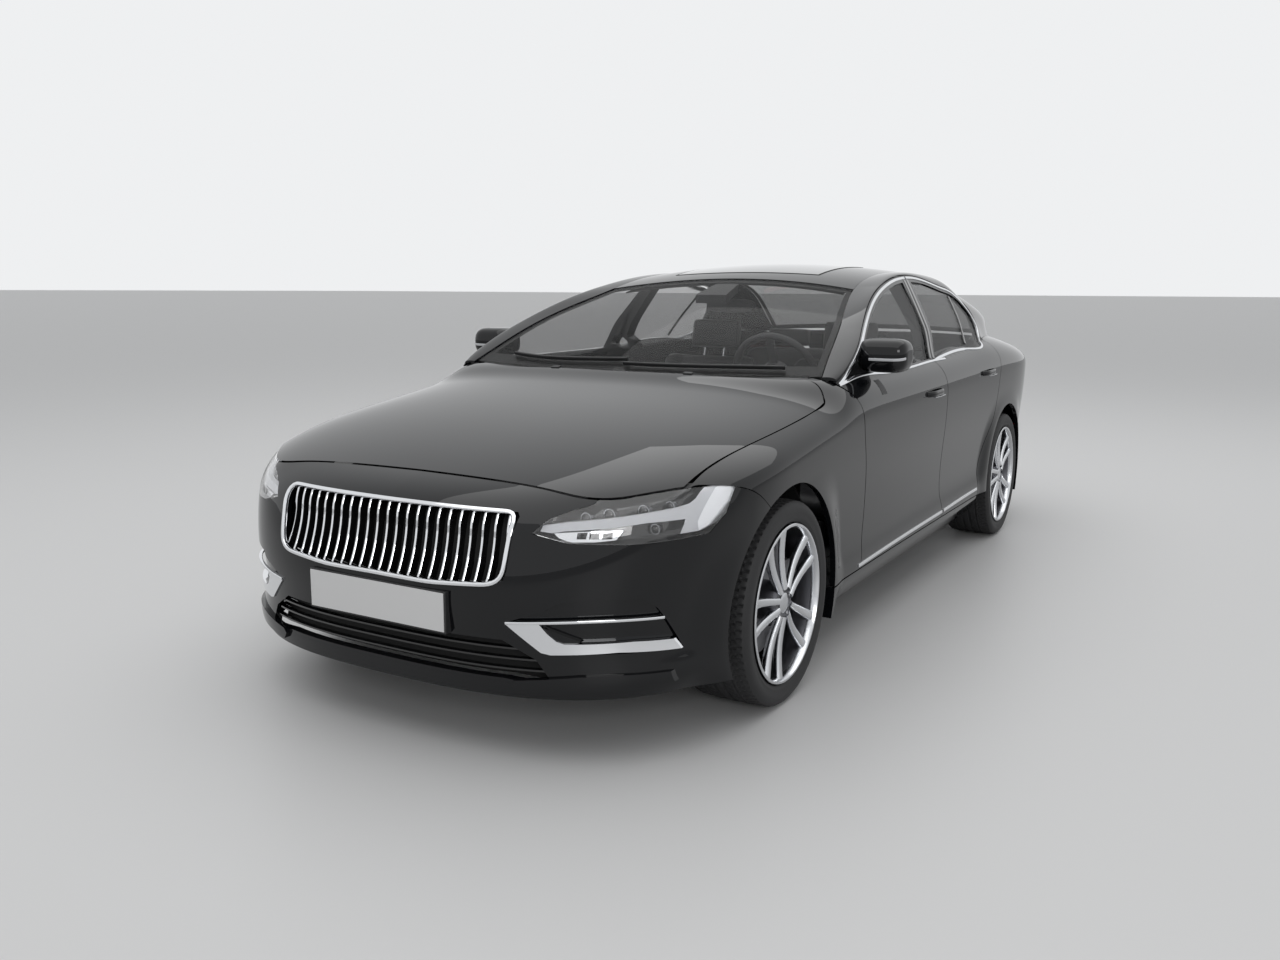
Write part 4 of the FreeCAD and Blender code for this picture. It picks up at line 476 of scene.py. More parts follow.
def carve(mesh, cutters, operation="DIFFERENCE"):
    # takes the cutters' volumes off a closed mesh
    obj = bpy.data.objects.new("carving", mesh)
    bpy.context.collection.objects.link(obj)
    tools = []
    for cutter in cutters:
        tool = bpy.data.objects.new("tool", cutter)
        bpy.context.collection.objects.link(tool)
        change = obj.modifiers.new("cut", "BOOLEAN")
        change.operation, change.solver, change.object = operation, "EXACT", tool
        tools.append(tool)
    bpy.context.view_layer.update()
    result = bpy.data.meshes.new_from_object(obj.evaluated_get(bpy.context.evaluated_depsgraph_get()))
    result.name = mesh.name
    for thing in tools + [obj]:
        bpy.data.objects.remove(thing)
    return result


def flipSide(mesh):
    # the same mesh on the other side of the car
    other = mesh.copy()
    points = np.empty(len(other.vertices) * 3, np.float32)
    other.vertices.foreach_get("co", points)
    points[::3] *= -1
    other.vertices.foreach_set("co", points)
    other.flip_normals()
    return other


def bothSides(name, mesh, material, bodies, angle=32):
    # bodies holds the left body's name and the right body's
    left = place(name + "Left", mesh, material, bodies[0], angle)
    right = place(name + "Right", flipSide(mesh), material, bodies[1], angle)
    return left, right


def standsFor(piece, node):
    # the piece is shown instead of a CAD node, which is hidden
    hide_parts(node)
    return piece


def pairStandsFor(pieces, node):
    for piece, side in zip(pieces, ("left", "right")):
        standsFor(piece, node + "_" + side)


def sweepMesh(name, spine, section, closedSpine=False, frames=None):
    # a profile carried along a path: spine (n, 3), section (k, 2) in the frame's two directions
    spine, section = np.asarray(spine, float), np.asarray(section, float)
    if frames is None:
        ahead = np.roll(spine, -1, 0) - np.roll(spine, 1, 0) if closedSpine else np.gradient(spine, axis=0)
        ahead /= np.linalg.norm(ahead, axis=1, keepdims=True)
        up = np.array([0, 0, 1.0]) if abs(ahead[:, 2]).max() < 0.95 else np.array([1.0, 0, 0])
        side = np.cross(ahead, up)
        side /= np.linalg.norm(side, axis=1, keepdims=True)
        frames = (side, np.cross(side, ahead))
    across, upright = (section[None, :, i:i + 1] * frames[i][:, None] for i in (0, 1))
    points = spine[:, None] + across + upright
    return tubeMesh(name, points, closedSpine)


def tubeMesh(name, rings, closedSpine=False):
    # closed skin through rings (n, k, 3), k even; each end closes in a fan round its middle
    n, k = rings.shape[:2]
    points = rings.reshape(-1, 3)
    if closedSpine:
        return meshFrom(name, points, gridQuads(n + 1, k, 0, True) % (n * k))
    caps = []
    for row in (0, n - 1):
        middle = len(points)
        points = np.concatenate([points, rings[row].mean(0)[None]])
        j = np.arange(0, k, 2)
        spokes = [row * k + (j + step) % k for step in range(3)]
        fan = np.stack(spokes + [np.full(len(j), middle)], -1)
        caps.append(fan if row else fan[:, ::-1])
    return meshFrom(name, points, np.concatenate([gridQuads(n, k, 0, True)[:, ::-1]] + caps))


def roundSection(radius, count=12):
    turn = around360(count)
    return np.stack([radius * np.cos(turn), radius * np.sin(turn)], -1)


def bent(v, power):
    # a power that keeps the sign
    return np.sign(v) * np.abs(v) ** power


def turnedMesh(name, outline, centre, axis=0, count=96):
    # a closed (along the axis, radius) outline turned about an axis through a centre
    outline = np.asarray(outline, float)
    turn = around360(count)[:, None]
    along, radius = outline[None, :, 0] + 0 * turn, outline[None, :, 1]
    one, two = radius * np.cos(turn), radius * np.sin(turn)
    parts = {0: (along, one, two), 1: (one, along, two), 2: (one, two, along)}[axis]
    points = np.stack(parts, -1) + np.asarray(centre, float)
    quads = gridQuads(count + 1, len(outline), 0, True) % (count * len(outline))
    return meshFrom(name, points, quads)


def joined(name, meshes):
    # several meshes as one
    work = bmesh.new()
    for mesh in meshes:
        work.from_mesh(mesh)
    result = bpy.data.meshes.new(name)
    work.to_mesh(result)
    work.free()
    return result


# Materials


def material(name, **values):
    # a Principled finish whose even values stand on the shader's own sockets
    mat = bpy.data.materials.new(name)
    mat.use_nodes = True
    shader = mat.node_tree.nodes["Principled BSDF"]
    names = {"color": "Base Color", "metal": "Metallic", "rough": "Roughness", "ior": "IOR",
             "coat": "Coat Weight", "coatRough": "Coat Roughness", "coatIor": "Coat IOR",
             "through": "Transmission Weight", "specular": "Specular IOR Level",
             "glow": "Emission Strength", "glowColor": "Emission Color", "alpha": "Alpha"}
    for key, value in values.items():
        shader.inputs[names[key]].default_value = (*value, 1) if isinstance(value, tuple) else value
    return mat


finish = {
    "paint": material("blackPaint", color=(0.0042, 0.0045, 0.0055), rough=0.45, specular=0.0, coat=1.0,
                      coatRough=0.012, coatIor=1.42),
    "gloss": material("glossBlack", color=(0.004, 0.004, 0.0045), rough=0.08, coat=0.6, coatRough=0.02),
    "chrome": material("chrome", color=(0.80, 0.81, 0.83), metal=1.0, rough=0.06),
    "satin": material("satinMetal", color=(0.55, 0.56, 0.58), metal=1.0, rough=0.26),
    "plastic": material("blackPlastic", color=(0.016, 0.016, 0.017), rough=0.55),
    "dark": material("deepShade", color=(0.006, 0.006, 0.006), rough=0.8),
    "lens": material("clearLens", color=(1.0, 1.0, 1.0), rough=0.0, ior=1.45, through=1.0),
    "glow": material("whiteLamp", color=(0.62, 0.63, 0.66), rough=0.3, glow=0.04,
                     glowColor=(0.93, 0.96, 1.0)),
    "glowBright": material("whiteBlade", color=(0.80, 0.81, 0.84), rough=0.25, glow=0.18,
                           glowColor=(0.94, 0.97, 1.0)),
    "plate": material("blankPlate", color=(0.62, 0.62, 0.62), rough=0.35),
    "clearStrip": material("clearStrip", color=(0.55, 0.56, 0.58), rough=0.08, coat=1.0),
    "redLens": material("redLens", color=(0.42, 0.01, 0.012), rough=0.05, ior=1.45, through=0.6),
    "redGlow": material("redGlow", color=(0.30, 0.006, 0.008), rough=0.3, glow=0.12,
                        glowColor=(0.8, 0.02, 0.02)),
    "liner": material("headliner", color=(0.09, 0.09, 0.09), rough=0.9),
    "floor": material("floorPaint", color=(0.02, 0.02, 0.021), rough=0.6),
    "mirror": material("mirrorGlass", color=(0.8, 0.82, 0.85), metal=1.0, rough=0.02),
    "tyre": material("tyreRubber", color=(0.017, 0.017, 0.018), rough=0.68),
    "alloy": material("machinedAlloy", color=(0.62, 0.63, 0.65), metal=1.0, rough=0.2),
    "pocket": material("alloyPocket", color=(0.10, 0.10, 0.11), metal=1.0, rough=0.35),
    "iron": material("brakeIron", color=(0.30, 0.30, 0.31), metal=1.0, rough=0.38),
    "cast": material("castAluminium", color=(0.36, 0.36, 0.37), metal=1.0, rough=0.5),
    "steel": material("exhaustSteel", color=(0.42, 0.41, 0.40), metal=1.0, rough=0.33),
    "trim": material("cabinTrim", color=(0.022, 0.022, 0.024), rough=0.6),
    "seat": material("seatLeather", color=(0.020, 0.020, 0.022), rough=0.5),
    "screen": material("displayGlass", color=(0.005, 0.006, 0.008), rough=0.04, coat=1.0),
}
# thin tinted glass: straight light through a dark film, with a clear gloss
for look, name, color, alpha in (("glassFront", "screenGlass", (0.010, 0.011, 0.011), 0.13),
                                 ("glassSide", "sideGlass", (0.008, 0.009, 0.009), 0.28),
                                 ("glassRear", "rearGlass", (0.006, 0.007, 0.007), 0.45)):
    finish[look] = material(name, color=color, rough=0.0, ior=1.5, alpha=alpha)
print("materials ready")


# Body panels, from the same lines as the frame's


def inward(depth, b):
    # vector into the body, level over a side and straight down at a top edge
    angle = math.pi / 2 * b ** 6
    return np.stack([-depth * np.cos(angle), 0 * b, -depth * np.sin(angle)], -1)


def bodySheet(region, a, b, depth=0.0):
    return spot(*bodyPoint(*region(a, b))) + inward(depth, b)


def sideSheet(region, a, b, depth=0.0):
    s, z = region(a, b)
    return spot(sideX(s, z) - depth, s, z)


def topSheet(region, rise, a, b, drop=0.0):
    x, s = region(a, b)
    return spot(x, s, rise(s, x) - drop)


def band(points, wall):
    # the points, then the same path offset by a wall to its left, in reverse
    p = np.asarray(points, float)
    d = np.diff(p, axis=0)
    d /= np.linalg.norm(d, axis=1, keepdims=True)
    first, last = np.concatenate([d[:1], d]), np.concatenate([d, d[-1:]])
    normal = np.stack([-(first[:, 1] + last[:, 1]), first[:, 0] + last[:, 0]], -1)
    normal /= np.linalg.norm(normal, axis=1, keepdims=True)
    slant = -first[:, 1] * normal[:, 0] + first[:, 0] * normal[:, 1]
    offset = p + normal * (wall / slant)[:, None]
    return [tuple(q) for q in p] + [tuple(q) for q in offset[::-1]]


def hoodRegion(gap, frontGap):
    front, side, rear = seams["hoodFront"], seams["hoodSide"], seams["hoodRear"]
    front, side = sampled(front, 16), sampled(side)
    ring = front + side[1:] + rear[1:]
    near = band(ring, gap)[:len(ring) - 1:-1]
    far = band(ring, frontGap)[:len(ring) - 1:-1]
    corner, end = len(front), len(front) + len(side) - 1
    nose = [(0.0, far[0][1])] + far[1:corner]
    flank = [nose[-1]] + near[corner:end]
    back = [flank[-1]] + near[end:-1] + [(0.0, near[-1][1])]
    acrossNose = [(-x, s) for x, s in nose[::-1]] + nose[1:]
    acrossBack = [(-x, s) for x, s in back] + back[-2::-1]
    return patch(path(acrossNose), path(acrossBack), path([(-x, s) for x, s in flank]), path(flank))


gap = car["shutGap"]
nose = {"join": 0.457, "joinSide": 0.423, "wrapPart": 0.72, "corner": 0.62, "lift": 0.6 * gap,
        "innerLift": car["lidWall"] + gap, "pocketDepth": 0.028, "pocketPart": (0.2, 0.9, 0, 0.7),
        "grilleCut": 0.31, "lampCut": 0.57}
noseTopPoints = [(x, s, float(rolled(s, x))) for x, s in seams["hoodFront"]]
noseTopPoints += [(float(sideWidth(s, z)), s, z) for s, z in seams["bumperSide"]]
noseTop = path(noseTopPoints)
noseCorner = lengthShares(noseTopPoints)[len(seams["hoodFront"]) - 1]


def nosePoint(t, b, lift=0.0):
    # face of the front bumper: t from the centre to the arch, b from its bottom to its top
    t, b = np.broadcast_arrays(np.asarray(t, float), np.asarray(b, float))
    x, s, z = noseTop(t)
    m = around(np.maximum(x, car["closeGap"]), s)
    join = mix(nose["join"], nose["joinSide"], t) * H

    def wrapped(level):
        there = frontAxle - np.abs(frontAxle - s)
        for step in range(3):
            here = bodyPoint(m, sectionLevel(there, level))
            there = here[1]
        return here

    part = nose["wrapPart"]
    low = wrapped(np.minimum(mix(car["sillBottom"], join, b / part), join))
    foot, below = wrapped(join), wrapped(join - gap)
    r = np.clip((b - part) / (1 - part), 0, 1)
    edge = (x, s, z - lift)
    result = []
    for k in range(3):
        climb = (foot[k] - below[k]) / (foot[2] - below[2])
        corner = foot[k] + climb * (z - foot[2]) * nose["corner"]
        upper = (1 - r) ** 2 * foot[k] + 2 * r * (1 - r) * corner + r * r * edge[k]
        result.append(np.where(b <= part, low[k], upper))
    return result


def noseSheet(depth, a, b, t0=-1.0, t1=1.0, b0=0.0, b1=1.0, lift=0.0):
    t = mix(t0, t1, a)
    x, s, z = nosePoint(np.abs(t), mix(b0, b1, b), lift)
    away = np.hypot(x, frontAxle - s)
    x, s = x - depth * x / away, s + depth * (frontAxle - s) / away
    return spot(np.copysign(x, t), s, z)


outlines = {
    "grille": [(-0.466, 0.4913), (0.466, 0.4913), (0.477, 0.484), (0.467, 0.385), (0.459, 0.366),
               (0.425, 0.3555), (0.22, 0.346), (0.0, 0.344), (-0.22, 0.346), (-0.425, 0.3555),
               (-0.459, 0.366), (-0.467, 0.385), (-0.477, 0.484)],
    "lamp": [(0.528, 0.4563), (0.563, 0.4826), (0.615, 0.498), (0.665, 0.5085), (0.71, 0.56),
             (0.965, 0.56), (0.953, 0.526), (0.949, 0.48), (0.928, 0.4458), (0.874, 0.4408),
             (0.796, 0.4369), (0.635, 0.4407), (0.569, 0.4504)],
    "scoop": [(0.47, 0.286), (0.575, 0.3108), (0.622, 0.3283), (0.709, 0.3348), (0.81, 0.332),
              (0.837, 0.3104), (0.85, 0.287), (0.878, 0.2222), (0.617, 0.2268), (0.667, 0.2515),
              (0.572, 0.2786)],
    "intake": [(-0.60, 0.158), (-0.546, 0.2124), (-0.45, 0.248), (0.45, 0.248), (0.546, 0.2124),
               (0.60, 0.158), (0.45, 0.170), (-0.45, 0.170)],
    "tailLamp": [(0.66, 0.598), (1.05, 0.585), (1.05, 0.535), (0.66, 0.545)],
}


def outline(name, grow=0.0, flip=False):
    # a named outline in metres, grown outward from its middle
    p = np.array(outlines[name]) * (W, H)
    away = p - p.mean(0)
    p = p + away / np.linalg.norm(away, axis=1, keepdims=True) * grow
    return p * (-1, 1) if flip else p


def frontBumper():
    a, b = shares(171, 70)
    shell = slabMesh("frontBumper", noseSheet(0, a, b, lift=nose["lift"]),
                     noseSheet(car["bumperWall"], a, b, lift=nose["innerLift"]))
    a, b = shares(60, 30)
    half, start = nose["pocketDepth"] / 2, -cutter["room"]
    pocket = slabMesh("pocket", *(noseSheet(depth, a, b, *nose["pocketPart"]) for depth in (-half, half)))
    hollow = carve(pocket, [frontCutter(outline("scoop"), start, nose["lampCut"])], "INTERSECT")
    cutters = [frontCutter(outline(name), start, nose["grilleCut"]) for name in ("grille", "intake")]
    cutters += [frontCutter(outline("lamp", flip=flip), start, nose["lampCut"]) for flip in (False, True)]
    cutters += [hollow, flipSide(hollow), wheelCutter(frontAxle, car["archRadius"], -cutter["across"])]
    return carve(shell, cutters)


standsFor(place("frontBumperSkin", frontBumper(), finish["paint"]), "front_bumper")

a, b = shares(110, 90)
outer, inner = hoodRegion(gap, gap), hoodRegion(6 * gap, 6 * gap)
hood = slabMesh("hood", topSheet(outer, rolled, a, b), topSheet(inner, rolled, a, b, car["lidWall"]))
standsFor(place("hoodSkin", hood, finish["paint"], "hood"), "hood")


def floats(values):
    return tuple(map(float, values))


def fenderMesh():
    edge = sampled(seams["hoodSide"]) + sampled(seams["hoodRear"][:3], 6)[1:]
    top = [floats(topSpot(s, x)) for x, s in edge]
    front = seams["doorFront"]
    rearTop = sideSpot(front[-1][0] - gap, front[-1][1])
    top.append((float(rearTop[0]), top[-1][1]))
    foot = floats(sideSpot(seams["bumperSide"][-1][0], car["doorBottom"]))
    seam = noseTop(mix(1, noseCorner, np.arange(10) / 10))
    seamLevels = sectionLevel(seam[1], seam[2])
    left = [foot] + list(zip(around(seam[0], seam[1]).tolist(), seamLevels.tolist())) + [top[0]]
    right = [floats(sideSpot(s, z)) for s, z in moved(sampled(front), -gap)] + [top[-1]]
    half = mix(seams["bumperSide"][-1][0], front[0][0], 0.5)
    middle = floats(sideSpot(half, car["doorBottom"]))
    region = patch(path([foot, middle, right[0]]), path(top), path(left), path(right))
    wide = front[0][0] - seams["bumperSide"][0][0]
    inner = shrunk(region, car["panelWall"] / wide, 0, 0, car["panelWall"] / (4 * H))
    a, b = shares(96, 70)
    shell = slabMesh("fender", bodySheet(region, a, b), bodySheet(inner, a, b, car["panelWall"]))
    return carve(shell, [wheelCutter(frontAxle, car["archRadius"])])


onRoot = ("root", "root")
pairStandsFor(bothSides("fenderSkin", fenderMesh(), finish["paint"], onRoot), "fender")
print("front panels ready")

doorFrontTop, splitTop, upperTip = seams["doorFront"][-1], seams["doorSplit"][-1], seams["doorRear"][-1]


def alongUpper(s0, s1, drop, count=9):
    places = np.linspace(s0, s1, count)
    return list(zip(places.tolist(), (line["upper"](places) - drop).tolist()))


def frontDoorRegion():
    top = alongUpper(doorFrontTop[0], splitTop[0], 0)
    bottom = [seams["doorFront"][0], seams["doorSplit"][0]]
    return patch(path(bottom), path(top), path(seams["doorFront"]), path(seams["doorSplit"]))


def rearDoorRegion():
    left = moved(seams["doorSplit"], gap)
    top = alongUpper(left[-1][0], upperTip[0], 0)
    top[-1] = upperTip
    return patch(path([left[0], seams["doorRear"][0]]), path(top), path(left), path(seams["doorRear"]))


paneMargin = car["paneMargin"]


def frontWindowRegion():
    foot = seams["windowFoot"]
    top = alongUpper(foot[0][0] + 0.8 * paneMargin, splitTop[0] - 2 * paneMargin, 0.8 * paneMargin)
    right = [(foot[-1][0] - paneMargin, foot[-1][1]), top[-1]]
    bottom = foot[:-1] + [right[0]]
    return patch(path(bottom), path(top), path([bottom[0], top[0]]), path(right))


def rearWindowRegion():
    foot = seams["rearWindowFoot"]
    top = alongUpper(splitTop[0] + 2 * paneMargin, upperTip[0] - 1.6 * paneMargin, 0.8 * paneMargin)
    bottom = [(foot[0][0] + paneMargin, foot[0][1])] + foot[1:3] + [(foot[3][0] - paneMargin, foot[3][1])]
    return patch(path(bottom), path(top), path([bottom[0], top[0]]), path([bottom[-1], top[-1]]))


def regionOutline(region, count=24):
    # points round a region, one side after another
    t = np.linspace(0, 1, count)[:-1]
    sides = [region(t, 0 * t), region(0 * t + 1, t), region(1 - t, 0 * t + 1), region(0 * t, 1 - t)]
    return np.concatenate([np.stack(side, -1) for side in sides])


def doorThickness(s, z):
    belt = line["belt"](s)
    t = smoothStep((z - belt + car["frameDepth"]) / (2 * car["frameDepth"]))
    return mix(car["doorDepth"], car["frameDepth"], t)


def doorMesh(name, region, window):
    wide = float(region(1, 0)[0] - region(0, 0)[0])
    inset = car["doorInset"] / wide
    inner = shrunk(region, inset, inset, inset, inset / 2)
    a, b = shares(76, 96)
    s, z = inner(a, b)
    shell = slabMesh(name, sideSheet(region, a, b), spot(sideX(s, z) - doorThickness(s, z), s, z))
    return carve(shell, [sideCutter(regionOutline(window))])


def paneMesh(name, region):
    wide = float(region(1, 0)[0] - region(0, 0)[0])
    high = float(region(0.5, 1)[1] - region(0.5, 0)[1])
    besides, above = car["paneGap"] / wide, car["paneGap"] / high
    inner = shrunk(region, besides, besides, above, above)
    a, b = shares(50, 24)
    inset = car["glassInset"]
    return slabMesh(name, sideSheet(inner, a, b, inset), sideSheet(inner, a, b, inset + car["glassWall"]))


def doorBodies(name):
    return name + "_door_left", name + "_door_right"


for name, region, window in (("front", frontDoorRegion(), frontWindowRegion()),
                             ("rear", rearDoorRegion(), rearWindowRegion())):
    bodies = doorBodies(name)
    skins = bothSides(name + "DoorSkin", doorMesh(name + "Door", region, window), finish["paint"], bodies)
    panes = bothSides(name + "Window", paneMesh(name + "Pane", window), finish["glassSide"], bodies)
    pairStandsFor(skins, "door_" + name)
    pairStandsFor(panes, "window_" + name)
print("doors ready")


def roofSlab(name, region, a, b, near, far):
    # wall between two depths under the roof's line
    return slabMesh(name, *(topSheet(region, roofHeight, a, b, depth) for depth in (near, far)))


def roofRows(first, firstSweep, last, lastSweep, sideGap):
    def region(a, b):
        q = 2 * a - 1
        s0 = station(first) + firstSweep * H * q * q
        s1 = station(last) + lastSweep * H * q * q
        s = mix(s0, s1, b)
        return q * (line["edge"](s) - sideGap), s
    return region


roof = {"header": (1.494, -0.045), "back": (1.912, -0.03), "screenFoot": (1.166, 0.062),
        "backFoot": (2.512, -0.055), "screenHead": (1.492, -0.045), "backHead": (1.914, -0.03)}
a, b = shares(64, 64)
region = roofRows(*roof["header"], *roof["back"], car["closeGap"])
standsFor(place("roofSkin", roofSlab("roof", region, a, b, 0.0, car["panelWall"]), finish["paint"]),
          "roof_panel")
screens = {"front": roofRows(*roof["screenFoot"], *roof["screenHead"], gap),
           "rear": roofRows(*roof["backHead"], *roof["backFoot"], gap)}
inset = car["glassInset"] / 2
for name, node, end, look in (("windscreenGlass", "windscreen", "front", "glassFront"),
                              ("rearScreenGlass", "rear_glass", "rear", "glassRear")):
    mesh = roofSlab(name, screens[end], a, b, inset, inset + car["glassWall"])
    standsFor(place(name, mesh, finish[look]), node)


def railPoint(s, b, depth=0.0):
    # across the roof rail from the window line to the roof's edge, as a cubic curve
    z0 = line["upper"](s) + gap
    x0, x1 = glassWidth(s, z0), line["edge"](s)
    z1 = roofHeight(s, x1)
    top = np.maximum(z0, z1) + gap
    corner = (glassWidth(s, top), top)
    keep = 0.35
    one = (mix(corner[0], x0, keep), mix(corner[1], z0, keep))
    two = (mix(corner[0], x1, keep), mix(corner[1], z1, keep))
    w = [(1 - b) ** 3, 3 * b * (1 - b) ** 2, 3 * b * b * (1 - b), b ** 3]
    x, z = (w[0] * start + w[1] * one[k] + w[2] * two[k] + w[3] * end
            for k, start, end in ((0, x0, x1), (1, z0, z1)))
    angle = math.pi / 2 * b ** 2
    return spot(x - depth * np.cos(angle), s, z - depth * np.sin(angle))


def sideFrameMesh():
    a, b = shares(150, 16)
    s, across = mix(station(1.191), upperTip[0] + gap - car["closeGap"], a), b * 0.994
    rail = slabMesh("rail", railPoint(s, across), railPoint(s, across, car["panelWall"]))
    start = frontAxle + car["archRadius"] - 2 * car["panelWall"]
    end = seams["doorRear"][0][0] - car["closeGap"]
    a, b = shares(120, 16)
    s, z = mix(start, end, a), mix(car["sillBottom"], car["doorBottom"] - gap, b)
    sill = carve(slabMesh("sill", spot(sideWidth(s, z), s, z), spot(car["sillInner"], s, z)),
                 [wheelCutter(frontAxle, car["archRadius"])])
    middle, half = seams["doorSplit"][0][0], car["postHalf"]
    a, b = shares(8, 40)

    def post(depth):
        z = mix(car["doorBottom"] - 2 * half, line["upper"](middle), b)
        lean = (splitTop[0] - middle) * np.maximum(0.0, (z - line["belt"](middle)) / H) * 2
        inset = doorThickness(middle, z - 1.5 * car["frameDepth"]) + 2 * gap
        x = sideX(middle, np.maximum(z, car["doorBottom"])) - inset - depth
        return spot(x, mix(middle - half, middle + half, a) + lean, z)

    return joined("sideFrame", [rail, sill, slabMesh("post", post(0), post(half))])


sideFrames = bothSides("sideFrameSkin", sideFrameMesh(), finish["paint"], onRoot)
pairStandsFor(sideFrames, "side_frame")


def tailWrap(turn, z):
    # point of the tail at an angle round it and a height
    m = rearAxle + W * turn
    s = rearAxle + rearOverhang * np.sin(turn)
    for step in range(2):
        here = bodyPoint(m, sectionLevel(s, z))
        s = here[1]
    return here[0], here[1], z


def tailTurn(x, z):
    # angle round the tail of a half-width place, by halving
    low, high = 0 * x, 0 * x + math.pi / 2
    for step in range(26):
        middle = (low + high) / 2
        wide = tailWrap(middle, z)[0] > x
        low, high = np.where(wide, middle, low), np.where(wide, high, middle)
    return (low + high) / 2


def turnSheet(depth, turn0, turn1, z0, z1, a, b):
    # sheet under the tail's skin; its angle counts from the car's middle
    turn = mix(turn0, turn1, a)
    x, s, z = tailWrap(math.pi / 2 - np.abs(turn), mix(z0, z1, b))
    away = np.hypot(x, s - rearAxle)
    return spot(np.copysign(x - depth * x / away, turn), s - depth * (s - rearAxle) / away, z)


def railTop(s):
    return roofHeight(s, line["edge"](s))


lampStart, behindTail = station(2.6), car["length"] + cutter["room"]


def quarterMesh():
    fine = sampled(seams["doorRear"], 24)
    upright = [(s, z) for s, z in fine if z < line["belt"](s) - 0.75 * car["panelWall"]]
    left = [floats(sideSpot(s, z)) for s, z in moved(upright, gap)]
    edge = sampled(seams["doorRear"], 60)
    closest = min(edge, key=lambda p: abs(p[1] - line["belt"](p[0])))[0] + gap
    places = np.linspace(closest, station(2.5), 6)
    seam = [floats(sideSpot(s, line["belt"](s) - car["closeGap"])) for s in places]
    lid = [floats(topSpot(s, x)) for x, s in seams["lidSide"]]
    left.append(seam[0])
    end = lid[-1][0]
    foot = float(sectionLevel(rearAxle, car["doorBottom"]))
    right = [(end, foot), (end, mix(foot, H, 0.6)), lid[-1]]
    bottom = [left[0], (mix(left[0][0], end, 0.5), foot), right[0]]
    region = patch(path(bottom), path(seam[:-1] + lid), path(left), path(right))
    a, b = shares(120, 70)
    inner = shrunk(region, 0, car["panelWall"] / (car["length"] - rearAxle), 0, 0)
    lower = slabMesh("quarterLower", bodySheet(region, a, b), bodySheet(inner, a, b, car["panelWall"]))
    bumper = seams["bumperLine"]
    under = bumper + [(bumper[-1][0], -cutter["room"]), (bumper[0][0], -cutter["room"])]
    lower = carve(lower, [wheelCutter(rearAxle, car["rearArchRadius"]), sideCutter(under),
                          frontCutter(outline("tailLamp"), lampStart, behindTail)])
    a, b = shares(44, 40)
    s = mix(upperTip[0] + gap, station(2.5), a)
    z = mix(line["belt"](s) + car["closeGap"], railTop(s), b)
    skin = spot(mix(glassWidth(s, z), line["edge"](s), b ** 6), s, z)
    return joined("quarter", [lower, slabMesh("sail", skin, skin + inward(car["panelWall"], b))])


pairStandsFor(bothSides("quarterSkin", quarterMesh(), finish["paint"], onRoot), "quarter")

quarterTurn = (float(topSpot(seams["lidSide"][-1][1], seams["lidSide"][-1][0])[0]) - rearAxle) / W


exhaust = {"x": 0.4, "wide": 0.0832, "low": 0.228, "high": 0.356, "topShare": 0.8}


def exhaustHole(sign=1):
    # outline of the trim's opening in the rear bumper on one side
    x, wide, low, high, share = exhaust.values()
    return [(sign * x + across, z) for across, z in
            ((-wide, low), (wide, low), (wide * share, high), (-wide * share, high))]


def rearBumperMesh():
    side = math.pi / 2 - 0.25
    top = 0.50 * H - gap
    beside = float(tailWrap(quarterTurn, top)[0]) - car["closeGap"]
    a, b = shares(161, 44)
    shell = slabMesh("rearBumper", *(turnSheet(depth, -side, side, car["sillBottom"], top, a, b)
                                     for depth in (0, car["bumperWall"])))
    edge = seams["bumperLine"]
    over = moved(edge, 0, -car["closeGap"]) + [(edge[-1][0], H), (edge[0][0], H)]
    cutters = [sideCutter(over, beside), sideCutter(over, -cutter["across"], -beside),
               wheelCutter(rearAxle, car["rearArchRadius"], -cutter["across"])]
    start = car["length"] - cutter["tail"]
    cutters += [frontCutter(exhaustHole(sign), start, behindTail) for sign in (-1, 1)]
    return carve(shell, cutters)


standsFor(place("rearBumperSkin", rearBumperMesh(), finish["paint"]), "rear_bumper")

# trunk lid: its deck and its rear face, joined at a crease
lid = {"corner": 0.55, "join": 0.694, "foot": 0.50, "gapShare": 0.006, "lean": 0.6}
lidEdge = path(seams["lidSide"])
seamShares = np.linspace(0, 1, 60)
seamX, seamS = lidEdge(seamShares)
seamZ = rolled(seamS, seamX)
lidJoinShare = float(np.interp(-lid["join"] * H, -seamZ, seamShares))


def lidBackEdge(z):
    # half width of the lid's rear face: along the deck's seam, then down the quarter's end
    return np.where(z > seamZ[-1], np.interp(-z, -seamZ, seamX), tailWrap(quarterTurn, z)[0])


def lidPoint(a, b, depth, trim):
    q = 2 * a - 1
    r = np.clip(b / lid["corner"], 0, 1)
    x, s = lidEdge(mix(trim, lidJoinShare, r))
    start = station(roof["backFoot"][0]) + (roof["backFoot"][1] * q * q + lid["gapShare"]) * H
    joinZ = lid["join"] * H
    deckEnd = tailWrap(tailTurn(np.abs(q) * x, joinZ), joinZ)[1]
    sTop = mix(start + trim * H, deckEnd, r)
    widest = mix(np.minimum(x, line["edge"](sTop)), x, smoothStep((r - 0.3) / 0.3))
    xTop = q * (widest - gap - depth * lid["lean"])
    z = rolled(sTop, xTop)
    zTop = mix(z, np.minimum(z, joinZ), np.maximum(0.0, (r - 0.8) / 0.2) ** 2)
    top = spot(xTop, sTop - depth * r * 0.7, zTop - depth)
    r = np.clip((b - lid["corner"]) / (1 - lid["corner"]), 0, 1)
    z = mix(joinZ, lid["foot"] * H, r)
    xBack = q * (lidBackEdge(z) - gap - depth * lid["lean"])
    here = tailWrap(tailTurn(np.abs(xBack), z), z)
    back = spot(xBack, here[1] - depth, mix(z - depth * 0.5, z + depth * 0.3, r))
    return np.where((b <= lid["corner"])[..., None], top, back)


